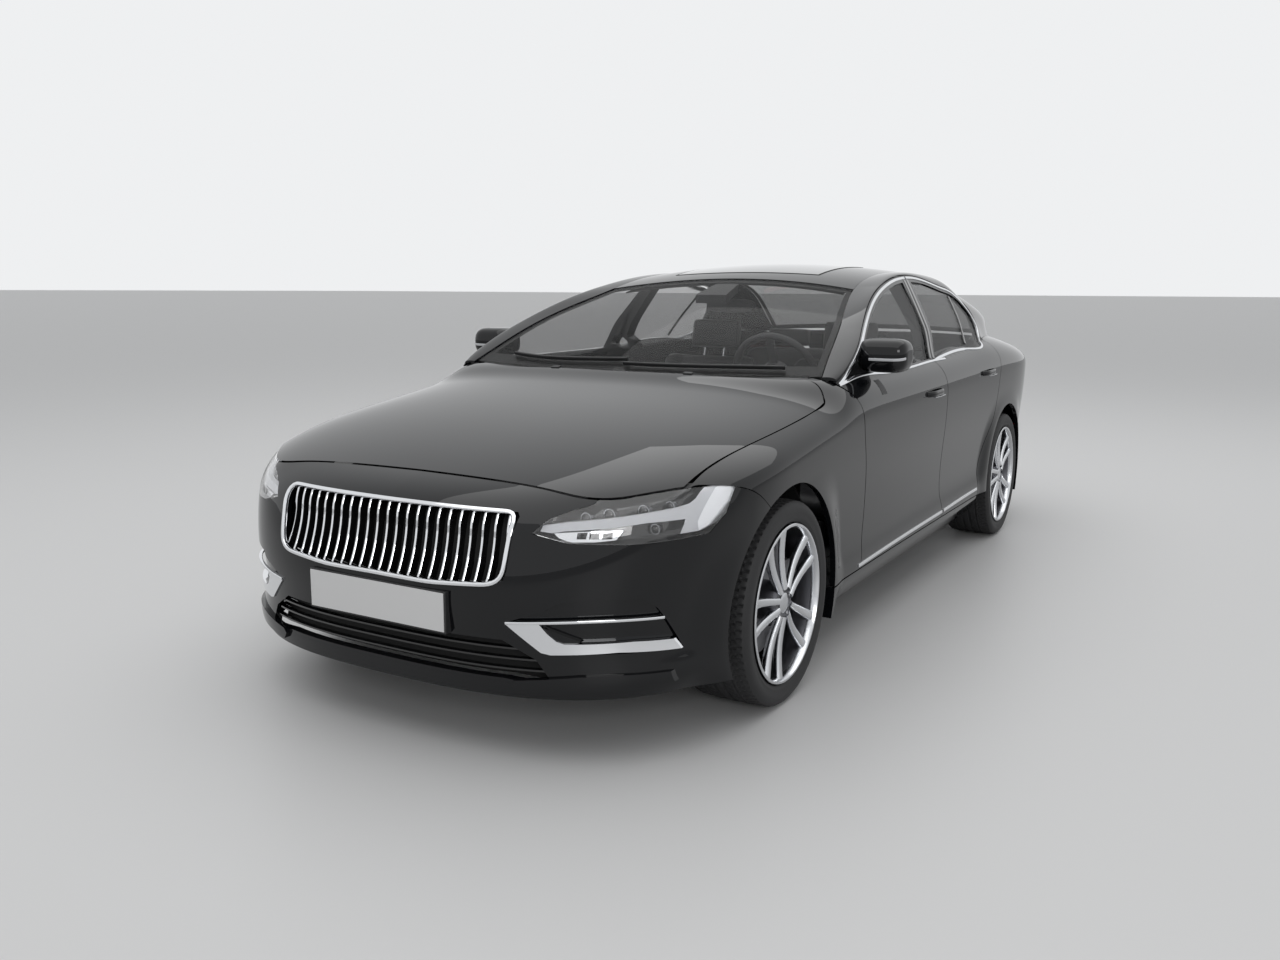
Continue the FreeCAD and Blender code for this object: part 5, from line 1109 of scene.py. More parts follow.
a, b = shares(84, 90)
trunk = slabMesh("trunkLid", lidPoint(a, b, 0, 0.0), lidPoint(a, b, car["lidWall"], 0.02))
standsFor(place("trunkLidSkin", trunk, finish["paint"], "trunk_lid"), "trunk_lid")
print("body panels ready")


# Front details


def noseFrame(x, z):
    # point of the nose's face over a half-width place and height, and its outward direction
    x, z = np.broadcast_arrays(np.asarray(x, float), np.asarray(z, float))
    # found by Newton's steps on the face's two shares
    q, tiny, damping = np.abs(x), 1e-4, 0.8
    t, b = np.clip(q / W, 0.01, 0.9), np.clip((z - car["sillBottom"]) / 0.56, 0.02, 0.98)
    for step in range(18):
        here, onward, above = (np.array(nosePoint(*at)) for at in ((t, b), (t + tiny, b), (t, b + tiny)))
        run, climb = (onward - here) / tiny, (above - here) / tiny
        area = run[0] * climb[2] - climb[0] * run[2]
        dx, dz = q - here[0], z - here[2]
        t = np.clip(t + damping * (dx * climb[2] - dz * climb[0]) / area, 0.0005, 0.999)
        b = np.clip(b + damping * (dz * run[0] - dx * run[2]) / area, 0, 1)
    side = np.where(x < 0, -1.0, 1.0)
    out = np.cross(run, climb, axis=0)
    out = np.moveaxis(out / np.linalg.norm(out, axis=0), 0, -1)
    out[..., 0] *= side
    return spot(side * here[0], here[1], here[2]), out


def barSection(out, across, count=12, power=0.55):
    # rounded bar, outward by sideways
    turn = around360(count) + math.pi / count
    return np.stack([out / 2 * bent(np.cos(turn), power), across / 2 * bent(np.sin(turn), power)], -1)


def stripMesh(name, spine, out, section, closed=False):
    # a bar along a spine; its section's first axis is the outward direction
    ahead = np.roll(spine, -1, 0) - np.roll(spine, 1, 0) if closed else np.gradient(spine, axis=0)
    ahead = ahead / np.linalg.norm(ahead, axis=1, keepdims=True)
    out = out - (out * ahead).sum(1, keepdims=True) * ahead
    out = out / np.linalg.norm(out, axis=1, keepdims=True)
    return sweepMesh(name, spine, section, closed, (out, np.cross(ahead, out)))


def ring(points, count):
    # evenly spaced points round a closed outline
    p = np.asarray(points, float)
    p = np.concatenate([p, p[:1]])
    travelled = np.concatenate([[0], np.cumsum(np.linalg.norm(np.diff(p, axis=0), axis=1))])
    at = np.linspace(0, travelled[-1], count, endpoint=False)
    return np.stack([np.interp(at, travelled, p[:, k]) for k in range(p.shape[1])], -1)


def rounded(points, count, turns=3):
    # the outline with its corners eased by repeated averaging
    p = ring(points, count)
    for step in range(turns):
        p = (np.roll(p, 1, 0) + 2 * p + np.roll(p, -1, 0)) / 4
    return p


def nosePlate(name, shape, near, far, t0=0.2, t1=0.95, b0=0.0, b1=1.0, grid=(70, 40), cut=()):
    # plate that follows the nose between two depths inside a (half width, height) outline
    a, b = shares(*grid)
    block = slabMesh(name, *(noseSheet(depth, a, b, t0, t1, b0, b1, nose["lift"]) for depth in (near, far)))
    ends = (-cutter["room"], cutter["plates"])
    mesh = carve(block, [frontCutter(shape, *ends)], "INTERSECT")
    return carve(mesh, [frontCutter(hole, *ends) for hole in cut]) if cut else mesh


def lampPlate(name, shape, near, far, cut=(), grid=(70, 40)):
    # a nose plate over the headlamp's place
    return nosePlate(name, shape, near, far, 0.3, 1.0, 0.35, 1.0, grid, cut)


def scaled(points):
    return np.array(points) * (W, H)


def pair(name, mesh, look, body="root", angle=32):
    # a mesh and its mirror image as one object
    return place(name, joined(name, [mesh, flipSide(mesh)]), finish[look], body, angle)


frontShapes = {
    "bar": [(0.545, 0.4595), (0.548, 0.4700), (0.6087, 0.4764), (0.696, 0.4822), (0.7811, 0.4898),
            (0.8468, 0.4972), (0.8742, 0.5035), (0.8828, 0.5114), (0.8862, 0.5235), (0.8902, 0.5302),
            (0.9178, 0.5341), (0.938, 0.5326), (0.943, 0.520), (0.940, 0.500), (0.930, 0.4796),
            (0.9180, 0.4598), (0.903, 0.4515), (0.8711, 0.4500), (0.8757, 0.4666), (0.8761, 0.4765),
            (0.8046, 0.4745), (0.7232, 0.4669), (0.6116, 0.4612), (0.5772, 0.4570)],
    "blade": [(0.9010, 0.4700), (0.9140, 0.5290), (0.9220, 0.5330), (0.938, 0.5326), (0.943, 0.520),
              (0.940, 0.500), (0.930, 0.4796), (0.9180, 0.4598), (0.905, 0.4530)],
    "cells": [(0.585, 0.4570), (0.6116, 0.4590), (0.6832, 0.4622), (0.755, 0.4632), (0.7435, 0.4461),
              (0.6953, 0.4425), (0.6313, 0.4420), (0.600, 0.4490)],
    "bracket": [(0.4661, 0.2830), (0.5011, 0.2631), (0.5637, 0.2283), (0.5889, 0.2244), (0.6692, 0.2262),
                (0.7559, 0.2285), (0.8787, 0.2221), (0.8644, 0.2438), (0.7895, 0.2480), (0.6856, 0.2470),
                (0.6277, 0.2470), (0.608, 0.2520), (0.5847, 0.2672), (0.5634, 0.2870), (0.4700, 0.2860)],
    "lip": [(0.4725, 0.1595), (0.4939, 0.1439), (0.6676, 0.1500), (0.7916, 0.1545), (0.8750, 0.1600),
            (0.8700, 0.1830), (0.7700, 0.1850), (0.6693, 0.1830), (0.4879, 0.1697)],
}

# Grille: bright frame, upright slats that bow inward, a dark screen behind them that is painted shade
grille = {"count": 11, "rim": 0.013, "reach": 0.428, "proud": 0.001, "depth": 0.014, "points": 24,
          "bow": 0.020, "foot": 0.010, "lip": (0.006, 0.0075), "fin": (0.028, 0.0048), "finSet": 0.016}
edge = rounded(outline("grille", -0.007), 160)
at, out = noseFrame(edge[:, 0], edge[:, 1])
section = barSection(grille["depth"], grille["rim"])
rim = stripMesh("grilleFrame", at + out * grille["proud"], out, section, True)
standsFor(place("grilleFrame", rim, finish["chrome"]), "grille")
top = splineThrough(*zip((-0.5, 0.4872), (0, 0.4880), (0.5, 0.4872)))
foot = splineThrough(*zip((-0.46, 0.372), (-0.425, 0.3625), (-0.22, 0.3505), (0, 0.3485), (0.22, 0.3505),
                          (0.425, 0.3625), (0.46, 0.372)))
fins, lips = [], []
for i in range(-grille["count"], grille["count"] + 1):
    x = i * grille["reach"] / (grille["count"] + 0.35)
    z = np.linspace(float(foot(x / W)), float(top(x / W)), grille["points"]) * H
    at, out = noseFrame(x + 0 * z, z)
    bow = grille["foot"] + grille["bow"] * np.sin(np.linspace(0, math.pi, grille["points"])) ** 0.8
    forward = np.zeros_like(at) + (0, -1.0, 0)
    spine = at - forward * bow[:, None]
    lips.append(stripMesh("lip", spine, forward, barSection(*grille["lip"], 8)))
    fins.append(stripMesh("fin", spine - forward * grille["finSet"], forward, barSection(*grille["fin"], 6)))
place("grilleSlats", joined("grilleSlats", lips), finish["chrome"])
place("grilleFins", joined("grilleFins", fins), finish["gloss"])
# painted shade: a matte dark sheet in the grille's depth stands in for the shade behind the slats
screen = nosePlate("grilleShadeScreen", outline("grille", 0.004), 0.055, 0.060, -0.62, 0.62, 0.2)
place("grilleShadeScreen", screen, finish["dark"])

# Headlamps: clear lens over a dark bowl with a white bar, four cells and three domes
lens = lampPlate("lens", outline("lamp", -0.0006), 0.0004, 0.0034, grid=(90, 50))
standsFor(pair("headlampLens", lens, "lens", angle=40), "headlamps")
bowl = lampPlate("bowl", outline("lamp", -0.001), 0.004, 0.066, [outline("lamp", -0.0035)])
back = lampPlate("bowlBack", outline("lamp", -0.001), 0.060, 0.066)
pair("headlampBowl", joined("bowl", [bowl, back]), "gloss")
pair("headlampBar", lampPlate("bar", scaled(frontShapes["bar"]), 0.012, 0.028), "glow")
pair("headlampBlade", lampPlate("blade", scaled(frontShapes["blade"]), 0.008, 0.014), "glowBright")
windows = [scaled([(x - 0.012, 0.4475), (x + 0.012, 0.4480), (x + 0.013, 0.4600), (x - 0.012, 0.4590)])
           for x in (0.6587, 0.6900, 0.7213)]
cells = lampPlate("cells", scaled(frontShapes["cells"]), 0.010, 0.026, windows)
pair("headlampCells", cells, "chrome")
dome = {"set": 0.036, "flat": 0.8, "back": 0.012, "rim": 0.003, "rimBack": 0.016, "sides": 32,
        "places": ((0.655, 0.4950, 0.0150), (0.715, 0.5010, 0.0160), (0.795, 0.5060, 0.0150),
                   (0.850, 0.5110, 0.0120), (0.838, 0.4650, 0.0125))}
domes, rims = [], []
for x, z, radius in dome["places"]:
    (at,), (out,) = noseFrame(np.array([x * W]), np.array([z * H]))
    at = at - out * dome["set"]
    turn = np.linspace(0.05, math.pi / 2, 10)
    profile = [(-radius * dome["flat"] * math.cos(t), radius * math.sin(t)) for t in turn]
    profile += [(dome["back"], radius), (dome["back"], 0.0004)]
    domes.append(turnedMesh("dome", profile, at, 1, dome["sides"]))
    near, far = -dome["rim"], dome["rimBack"]
    profile = [(near, radius), (near, radius + dome["rim"]), (far, radius + dome["rim"]), (far, radius)]
    rims.append(turnedMesh("rim", profile, at, 1, dome["sides"]))
pair("headlampDomes", joined("domes", domes), "screen")
pair("headlampRims", joined("rims", rims), "satin")

# Lower bumper: bright brackets over their pockets, lip blades, bars of the intake over a screen of painted
# shade, blank plate
bracket = scaled(frontShapes["bracket"])
pair("bumperBracket", nosePlate("bracket", bracket, -0.005, 0.012, 0.25, 0.95, 0, 0.75, (80, 50)), "chrome")
places = path([(0.4661, 0.2845), (0.5662, 0.2890), (0.6899, 0.2930), (0.7767, 0.2930), (0.8463, 0.2912)])
x, z = places(np.linspace(0, 1, 40))
at, out = noseFrame(x * W, z * H)
pair("bumperBar", stripMesh("bumperBar", at + out * 0.001, out, barSection(0.012, 0.009)), "chrome")
lip = scaled(frontShapes["lip"])
pair("lipBlade", nosePlate("lip", lip, -0.012, 0.012, 0.25, 0.98, 0, 0.6, (80, 40)), "paint")
intake = {"set": 0.016, "bar": (0.018, 0.009), "rows": ((0.188, 0.585), (0.209, 0.56), (0.230, 0.51))}
bars = []
for share, reach in intake["rows"]:
    x = np.linspace(-reach, reach, 60) * W
    at, out = noseFrame(x, 0 * x + share * H)
    bars.append(stripMesh("bar", at - out * intake["set"], out, barSection(*intake["bar"], 8)))
place("intakeBars", joined("intakeBars", bars), finish["gloss"])
# painted shade: a matte dark sheet behind the intake's bars stands in for the shade inside the opening
screen = nosePlate("screen", outline("intake", 0.004), 0.052, 0.058, -0.8, 0.8, 0, 0.6)
place("intakeShadeScreen", screen, finish["dark"])
plate = {"half": 0.26, "low": 0.366, "high": 0.478, "edge": 0.0012, "rim": 0.006, "topRim": 0.004,
         "holderEdge": 0.003}


def blockMesh(name, x0, x1, y0, y1, z0, z1, edge=0.0):
    # a box with its edges taken off
    work = bmesh.new()
    bmesh.ops.create_cube(work, size=1.0)
    for vert in work.verts:
        vert.co = Vector(mix(low, high, v + 0.5) for low, high, v in zip((x0, y0, z0), (x1, y1, z1), vert.co))
    if edge:
        bmesh.ops.bevel(work, geom=list(work.edges), offset=edge, segments=3, profile=0.7, affect="EDGES")
    mesh = bpy.data.meshes.new(name)
    work.to_mesh(mesh)
    work.free()
    return mesh


noseY, half, rim = -halfLength, plate["half"], plate["rim"]
holder = blockMesh("holder", -half - rim, half + rim, noseY - 0.005, noseY + 0.05,
                   plate["low"] - rim, plate["high"] + plate["topRim"], plate["holderEdge"])
place("plateHolder", holder, finish["plastic"])
face = blockMesh("plate", -half, half, noseY - 0.0075, noseY - 0.004, plate["low"], plate["high"],
                 plate["edge"])
place("numberPlate", face, finish["plate"])
print("front details ready")


# Sides: bright window surrounds, strips, handles and mirrors


def sideFrame(s, z):
    # point of the body's side or window line and its outward direction
    s, z = np.asarray(s, float), np.asarray(z, float)
    x, tiny = sideX(s, z), 0.002
    out = np.stack([0 * x + 1, -(sideX(s + tiny, z) - x) / tiny, -(sideX(s, z + tiny) - x) / tiny], -1)
    return spot(x, s, z), out / np.linalg.norm(out, axis=-1, keepdims=True)


def sideStrip(name, points):
    out, across, proud = sideBars[name]
    s, z = path(points)(np.linspace(0, 1, 90))
    at, away = sideFrame(s, z)
    return stripMesh(name, at + away * proud, away, barSection(out, across, 10))


# bars on the sides as (outward, across, proud of the skin)
sideBars = {"surround": (0.007, 0.013, 0.001), "sill": (0.008, 0.015, 0.001), "post": (0.003, 0.027, 0.0005),
            "bar": (0.006, 0.020, -0.003)}
split = splitTop[0]
frontFoot, rearFoot = (moved(seams[name], 0, -0.010) for name in ("windowFoot", "rearWindowFoot"))
corner = (doorFrontTop[0] + 0.012, float(line["upper"](doorFrontTop[0] + 0.012)) - 0.012)
strips = {
    "front": [[corner] + alongUpper(corner[0] + 0.06, split - 0.006, 0.010, 10),
              [corner] + frontFoot + [(split - 0.010, frontFoot[-1][1] + 0.001)]],
    "rear": [alongUpper(split + 0.012, upperTip[0] - 0.060, 0.010, 10)
             + [(upperTip[0] - 0.026, float(line["upper"](upperTip[0] - 0.020)) - 0.020),
                (upperTip[0] - 0.017, upperTip[1] - 0.012), (upperTip[0] - 0.045, rearFoot[-1][1] - 0.008)]
             + rearFoot[-2::-1]],
}
seam = seams["doorSplit"][0][0]
sills = {"front": [(1.530, 0.312), (1.9, 0.317), (seam - 0.012, 0.323)],
         "rear": [(seam + 0.014, 0.323), (3.0, 0.330), (seams["doorRear"][0][0] - 0.030, 0.333)]}
handle = {"front": (station(1.5171), 0.614 * H), "rear": (station(1.8313), 0.6355 * H), "half": 0.098,
          "climb": 0.002, "bow": 0.030, "foot": 0.010, "trimHalf": 0.075, "trimProud": 0.022}
for name in ("front", "rear"):
    bodies = doorBodies(name)
    meshes = [sideStrip("surround", points) for points in strips[name]]
    bothSides(name + "WindowSurround", joined("surround", meshes), finish["chrome"], bodies)
    strip = sideStrip("sill", sills[name])
    bothSides(name + "SillStrip", strip, finish["chrome"], bodies)
    s, z = handle[name]
    # pull handle: a bow that stands off the door between its feet
    u = np.linspace(-1, 1, 40)
    at, away = sideFrame(s + handle["half"] * u, z + 0 * u + handle["climb"] * u)
    lift = handle["bow"] * (1 - np.abs(u) ** 5) - handle["foot"]
    bow = stripMesh("handle", at + away * lift[:, None], away, barSection(0.013, 0.024, 16, 0.8))
    bothSides(name + "Handle", bow, finish["paint"], bodies)
    reach = handle["trimHalf"]
    lower = [(s - reach, z - 0.0135), (s, z - 0.0145), (s + reach, z - 0.0130)]
    at, away = sideFrame(*path(lower)(np.linspace(0, 1, 24)))
    trim = stripMesh("trim", at + away * handle["trimProud"], away, barSection(0.010, 0.004, 8))
    bothSides(name + "HandleTrim", trim, finish["chrome"], bodies)
# black centre posts and the bar that divides the rear door's glass
middle = seams["doorSplit"]
for name, ds in (("front", -0.019), ("rear", 0.024)):
    points = moved(middle[3:5] + [(middle[5][0], middle[5][1] - 0.016)], ds)
    post = sideStrip("post", points)
    bothSides(name + "PostCover", post, finish["gloss"], doorBodies(name))
bar = sideStrip("bar", [(3.340, 1.288), (3.285, 1.180), (3.216, 1.060)])
bothSides("rearDivision", bar, finish["gloss"], doorBodies("rear"))

mirror = {"s": station(1.30), "z": 0.745 * H, "tip": 1.0745 * W, "width": 0.190, "height": 0.128,
          "depth": 0.150, "stalk": 0.046, "face": 0.050, "stalkHalf": 0.028, "paneHalf": (0.076, 0.042),
          "paneBack": 0.003, "paneProud": 0.0012}


def bentOval(x, z, halfX, halfZ, count):
    # a rounded rectangle round a middle
    turn = around360(count)
    return np.stack([x + halfX * bent(np.cos(turn), 0.6), z + halfZ * bent(np.sin(turn), 0.6)], -1)


def mirrorRing(a, turn, grow=0.0):
    # point of the rounded housing: a along its width, turn round its section
    roundShare = np.sqrt(np.maximum(0.0, 1 - np.abs(2 * a - 1) ** 5.0))
    x = mix(mirror["tip"] - mirror["width"], mirror["tip"], a)
    onward = bent(np.cos(turn), 0.7) * (mirror["depth"] / 2 * (0.36 + 0.64 * roundShare) + grow)
    upward = bent(np.sin(turn), 0.7) * (mirror["height"] / 2 * (0.32 + 0.68 * roundShare) + grow)
    return spot(x, mirror["s"] + onward, mirror["z"] + upward)


def doorSlab():
    a, b = shares(60, 60)
    region = frontDoorRegion()
    return slabMesh("doorSide", sideSheet(region, a, b, -0.001), sideSheet(region, a, b, 0.15))


a, turn = np.meshgrid(0.5 - 0.5 * np.cos(np.linspace(0, math.pi, 34)), around360(56), indexing="ij")
back = mirror["s"] - halfLength + mirror["face"]
side = mirror["tip"] - mirror["width"] / 2
rearCut = blockMesh("rear", side - 0.2, side + 0.2, back, back + 0.2, 0.8, 1.4)
housing = carve(tubeMesh("mirror", mirrorRing(a, turn)), [rearCut])
footZ = float(line["belt"](mirror["s"]))
footX = float(sideX(mirror["s"], footZ - mirror["stalk"]))
rise = [(footX - 0.03, footZ - 0.062), (footX + 0.012, footZ - 0.060), (footX + 0.050, footZ - 0.018),
        (side + 0.02, mirror["z"] - 0.050), (side, mirror["z"] - 0.02), (footX + 0.018, footZ + 0.012),
        (footX - 0.03, footZ + 0.012)]
half = mirror["stalkHalf"]
stalk = carve(frontCutter(rise, mirror["s"] - half, mirror["s"] + half), [doorSlab()])
u = np.linspace(0.30, 0.985, 40)
turn = math.pi + 0.10 + 0 * u
at = mirrorRing(u, turn)
out = mirrorRing(u, turn, 0.01) - at
lampStrip = stripMesh("lamp", at, out, barSection(0.005, 0.010))
pane = bentOval(side + 0.002, mirror["z"], *mirror["paneHalf"], 48)
glassPane = prismMesh("pane", pane, 1, back - mirror["paneBack"], back + mirror["paneProud"])
bodies = doorBodies("front")
pairStandsFor(bothSides("mirrorHousing", housing, finish["paint"], bodies), "mirror")
bothSides("mirrorFoot", stalk, finish["plastic"], bodies)
bothSides("mirrorLamp", lampStrip, finish["clearStrip"], bodies)
bothSides("mirrorPane", glassPane, finish["mirror"], bodies)

# roof: sunroof pane, its dark gap and the fin
sunroof = {"half": 0.36, "front": 2.46, "rear": 3.02, "gapHalf": 0.365, "gapFront": 2.455, "gapRear": 3.025}
roofPane = lambda a, b: (mix(-sunroof["half"], sunroof["half"], a), mix(sunroof["front"], sunroof["rear"], b))
a, b = shares(40, 40)
place("sunroofPane", roofSlab("sunroof", roofPane, a, b, -0.0015, 0.01), finish["screen"])


def topStrip(name, points, rise, out, across, proud, count=60):
    x, s = path(points)(np.linspace(0, 1, count))
    tiny = 0.002
    z = rise(s, x)
    up = np.stack([-(rise(s, x + tiny) - z) / tiny, -(rise(s + tiny, x) - z) / tiny, 0 * x + 1], -1)
    up /= np.linalg.norm(up, axis=1, keepdims=True)
    return stripMesh(name, spot(x, s, z) + up * proud, up, barSection(out, across, 8))


half, front, rear = sunroof["gapHalf"], sunroof["gapFront"], sunroof["gapRear"]
edges = [[(-half, s), (0.0, s), (half, s)] for s in (front, rear)]
edges += [[(x, front), (x, 2.7), (x, rear)] for x in (-half, half)]
gaps = [topStrip("gap", points, roofHeight, 0.004, 0.009, -0.0005, 40) for points in edges]
place("sunroofGap", joined("sunroofGap", gaps), finish["dark"])
fin = {"front": 3.47, "rear": 3.585, "high": 0.046, "foot": 0.004, "sunk": 0.006, "wide": 0.020, "fall": 0.86}
s = np.linspace(fin["front"], fin["rear"], 24)
share = (s - s[0]) / (s[-1] - s[0])
high = fin["foot"] + fin["high"] * share ** 1.3 * (1 - np.maximum(0, (share - fin["fall"]) / 0.14) ** 2)
wide = fin["wide"] * np.sqrt(np.maximum(0.03, np.sin(math.pi * np.clip(share * fin["fall"] + 0.07, 0, 1))))
turn = around360(20)
base = roofHeight(s, 0 * s) - fin["sunk"]
rings = np.stack([wide[:, None] * np.cos(turn), (s - halfLength)[:, None] + 0 * turn,
                  base[:, None] + high[:, None] * np.maximum(-0.1, np.sin(turn))], -1)
place("roofFin", tubeMesh("fin", rings), finish["paint"])
print("side details ready")


# Wheels: alloy rims with five pairs of spokes, tyres with tread, brake discs and arch liners


spoke = {"sway": 0.003, "foot": 0.016, "tip": 0.052, "wide": (0.023, 0.034), "thick": 0.026, "rise": 0.002,
         "face": 0.110, "inner": 0.045, "outer": 0.243, "dish": 0.010, "rows": 26, "sides": 14, "pairs": 5}
# turned outlines as (across the wheel, radius)
profiles = {
    "lip": [(0.118, 0.2575), (0.120, 0.2555), (0.120, 0.2490), (0.114, 0.2455), (0.104, 0.2420),
            (0.095, 0.2415), (0.095, 0.2450), (0.108, 0.2560)],
    "barrel": [(0.098, 0.2435), (0.060, 0.2330), (-0.06, 0.2280), (-0.118, 0.2400), (-0.118, 0.2575),
               (-0.100, 0.2560), (-0.06, 0.2400), (0.060, 0.2440), (0.098, 0.2555)],
    "hub": [(0.02, 0.001), (0.02, 0.066), (0.085, 0.066), (0.098, 0.058), (0.100, 0.040), (0.098, 0.036),
            (0.096, 0.001)],
    "cap": [(0.09, 0.0005), (0.09, 0.033), (0.1015, 0.033), (0.1045, 0.028), (0.106, 0.014),
            (0.1065, 0.0005)],
    "bolt": [(0.09, 0.0004), (0.09, 0.0075), (0.101, 0.0075), (0.103, 0.006), (0.103, 0.0004)],
    "disc": [(-0.014, 0.06), (-0.014, 0.182), (-0.004, 0.182), (-0.004, 0.178), (0.006, 0.178),
             (0.006, 0.182), (0.016, 0.182), (0.016, 0.10), (0.030, 0.095), (0.030, 0.06)],
    "sidewall": [(0.1045, 0.0), (0.113, 0.004), (0.1185, 0.014), (0.1195, 0.018), (0.1190, 0.021),
                 (0.123, 0.034), (0.123, 0.046), (0.1205, 0.056), (0.1150, 0.0635), (0.1085, 0.0685)],
}


def spokeRings(side):
    # one spoke from the hub to the rim in the wheel's plane, its outer face crowned
    t = np.linspace(0, 1, spoke["rows"])
    arc = np.sin(math.pi * t)
    sway = mix(side * spoke["foot"], side * spoke["tip"], t ** 1.15) + side * spoke["sway"] * arc
    depth = spoke["face"] + spoke["rise"] * (1 - (1 - t) ** 2) - spoke["dish"] * arc
    turn = around360(spoke["sides"]) + math.pi / spoke["sides"]
    half = spoke["thick"] / 2
    width = mix(*spoke["wide"], t) / 2
    x = depth[:, None] - half + half * bent(np.cos(turn), 0.6)[None]
    y = sway[:, None] + width[:, None] * bent(np.sin(turn), 0.6)[None]
    return np.stack([x, y, mix(spoke["inner"], spoke["outer"], t)[:, None] + 0 * x], -1)


boltCircle = 0.049


def wheelPoints(points, turn, s):
    # rings in (across, around, up) turned about the axle and carried to an axle's left wheel
    y, z = points[..., 1], points[..., 2]
    c, n = math.cos(turn), math.sin(turn)
    x = points[..., 0] + car["track"] / 2
    return np.stack([x, y * c - z * n + s - halfLength, y * n + z * c + hubZ], -1)


def rimMeshes(s):
    centre = np.array((car["track"] / 2, s - halfLength, hubZ))
    spokes, bolts = [], []
    for i in range(spoke["pairs"]):
        turn = math.radians(360 / spoke["pairs"] * i + 18)
        for side in (-1, 1):
            spokes.append(tubeMesh("spoke", wheelPoints(spokeRings(side), turn, s)))
        at = centre + (0, boltCircle * math.cos(turn), boltCircle * math.sin(turn))
        bolts.append(turnedMesh("bolt", profiles["bolt"], at, 0, 12))
    lip, barrel, disc = (turnedMesh(name, profiles[name], centre) for name in ("lip", "barrel", "disc"))
    hub = turnedMesh("hub", profiles["hub"], centre, 0, 64)
    cap = turnedMesh("cap", profiles["cap"], centre, 0, 48)
    return {"Spokes": (joined("spokes", spokes + [lip]), "alloy"),
            "Barrel": (joined("barrel", [barrel, hub]), "pocket"), "Cap": (cap, "satin"),
            "Bolts": (joined("bolts", bolts), "iron"), "Disc": (disc, "iron")}


tyre = {"base": 0.2585, "half": 0.105, "crown": 0.0035, "treadHalf": 0.1085, "treadDepth": 0.012,
        "sides": 320, "blocks": 80, "grooves": (-0.055, -0.018, 0.018, 0.055), "grooveHalf": 0.0049,
        "grooveDepth": 0.0065, "blockDepth": 0.0050, "sipeDepth": 0.0032, "slotShare": 0.25,
        "blockFrom": 0.066, "sipes": (0.022, 0.050)}


def tyreMesh(s):
    # sidewall and tread outline turned round the axle; grooves and sipes press the tread in
    side = [(x, tyre["base"] + r) for x, r in profiles["sidewall"]]
    across = np.linspace(tyre["half"], -tyre["half"], 43)
    crown = car["wheelRadius"] - tyre["crown"] * (np.abs(across) / tyre["half"]) ** 2.6
    outline = np.array(side + list(zip(across, crown)) + [(-x, r) for x, r in side[::-1]])
    turn = around360(tyre["sides"])[:, None]
    x, radius = outline[None, :, 0] + 0 * turn, outline[None, :, 1] + 0 * turn
    flank = np.abs(x)
    tread = (flank < tyre["treadHalf"]) & (radius > car["wheelRadius"] - tyre["treadDepth"])
    groove = np.zeros_like(x)
    for middle in tyre["grooves"]:
        groove = np.maximum(groove, tyre["grooveDepth"] * (np.abs(x - middle) < tyre["grooveHalf"]))
    blocks = turn * tyre["blocks"] / (2 * math.pi)
    outer, inner = (blocks + x * 14 + 0.5 * (x > 0)) % 1.0, (blocks - x * 30) % 1.0
    slot, (low, high) = tyre["slotShare"], tyre["sipes"]
    groove = np.maximum(groove, tyre["blockDepth"] * ((outer < slot) & (flank > tyre["blockFrom"])))
    groove = np.maximum(groove, tyre["sipeDepth"] * ((inner < slot) & (flank > low) & (flank < high)))
    radius = radius - groove * tread
    points = np.stack([x + car["track"] / 2, s - halfLength + radius * np.cos(turn),
                       hubZ + radius * np.sin(turn)], -1)
    rows, columns = points.shape[:2]
    return meshFrom("tyre", points, gridQuads(rows + 1, columns, 0, True) % (rows * columns))


for axle, s in (("front", frontAxle), ("rear", rearAxle)):
    bodies = [axle + "_wheel_left", axle + "_wheel_right"]
    for part, (mesh, look) in rimMeshes(s).items():
        pieces = bothSides(axle + part, mesh, finish[look], bodies, 40)
        if part == "Spokes":
            pairStandsFor(pieces, "rim_" + axle)
    pieces = bothSides(axle + "Tyre", tyreMesh(s), finish["tyre"], bodies, 30)
    pairStandsFor(pieces, "tyre_" + axle)

# wheel arch liners, seen only as arcs inside the arches
arcs = []
liners = ((frontAxle, 0.402, 0.834, 0.500, 9), (rearAxle, 0.392, 0.854, 0.640, 14))
for s, radius, outer, inner, low in liners:
    turn = np.radians(np.linspace(low, 180 - low, 60))[:, None]
    across = np.array([outer, mix(outer, inner, 0.5), inner])[None]
    ringAt = lambda r: np.stack([across + 0 * turn, s - halfLength + r * np.cos(turn) + 0 * across,
                                 hubZ + r * np.sin(turn) + 0 * across], -1)
    arcs.append(slabMesh("liner", ringAt(radius), ringAt(radius + 0.005)))
standsFor(pair("wheelLiners", joined("liners", arcs), "plastic"), "wheel_liners")
print("wheels ready")


# Tail: lamps, plate, exhaust trims. Glass: black edges, sensor housing, inner mirror, wipers and jets


def lampLayer(name, near, far):
    # wall between two depths under the tail's skin, inside the lamp's outline
    a, b = shares(90, 30)
    part = (0.2, 1.3, 0.52 * H, 0.62 * H)
    block = slabMesh(name, *(turnSheet(depth, *part, a, b) for depth in (near, far)))
    start = lampStart + car["closeGap"]
    return carve(block, [frontCutter(outline("tailLamp"), start, behindTail)], "INTERSECT")


tail = {"lensWall": 0.004, "backNear": 0.030, "backFar": 0.052, "trimDepth": 0.014, "trimWide": 0.009,
        "shadeSet": 0.10, "shadeWall": 0.005, "shadeRoom": 0.01, "stripHalf": 0.30, "plateMiddle": 0.56,
        "plateLow": 0.512, "plateHigh": 0.624}
lens = lampLayer("lens", car["closeGap"], tail["lensWall"])
standsFor(pair("tailLens", lens, "redLens"), "tail_lamps")
pair("tailLampBack", lampLayer("back", tail["backNear"], tail["backFar"]), "redGlow")

tailS = lambda x, z: tailWrap(tailTurn(np.abs(x), z), z)[1]


def tailLoop(points, count):
    x, z = rounded(points, count, 2).T
    return spot(x, tailS(x, z), z)


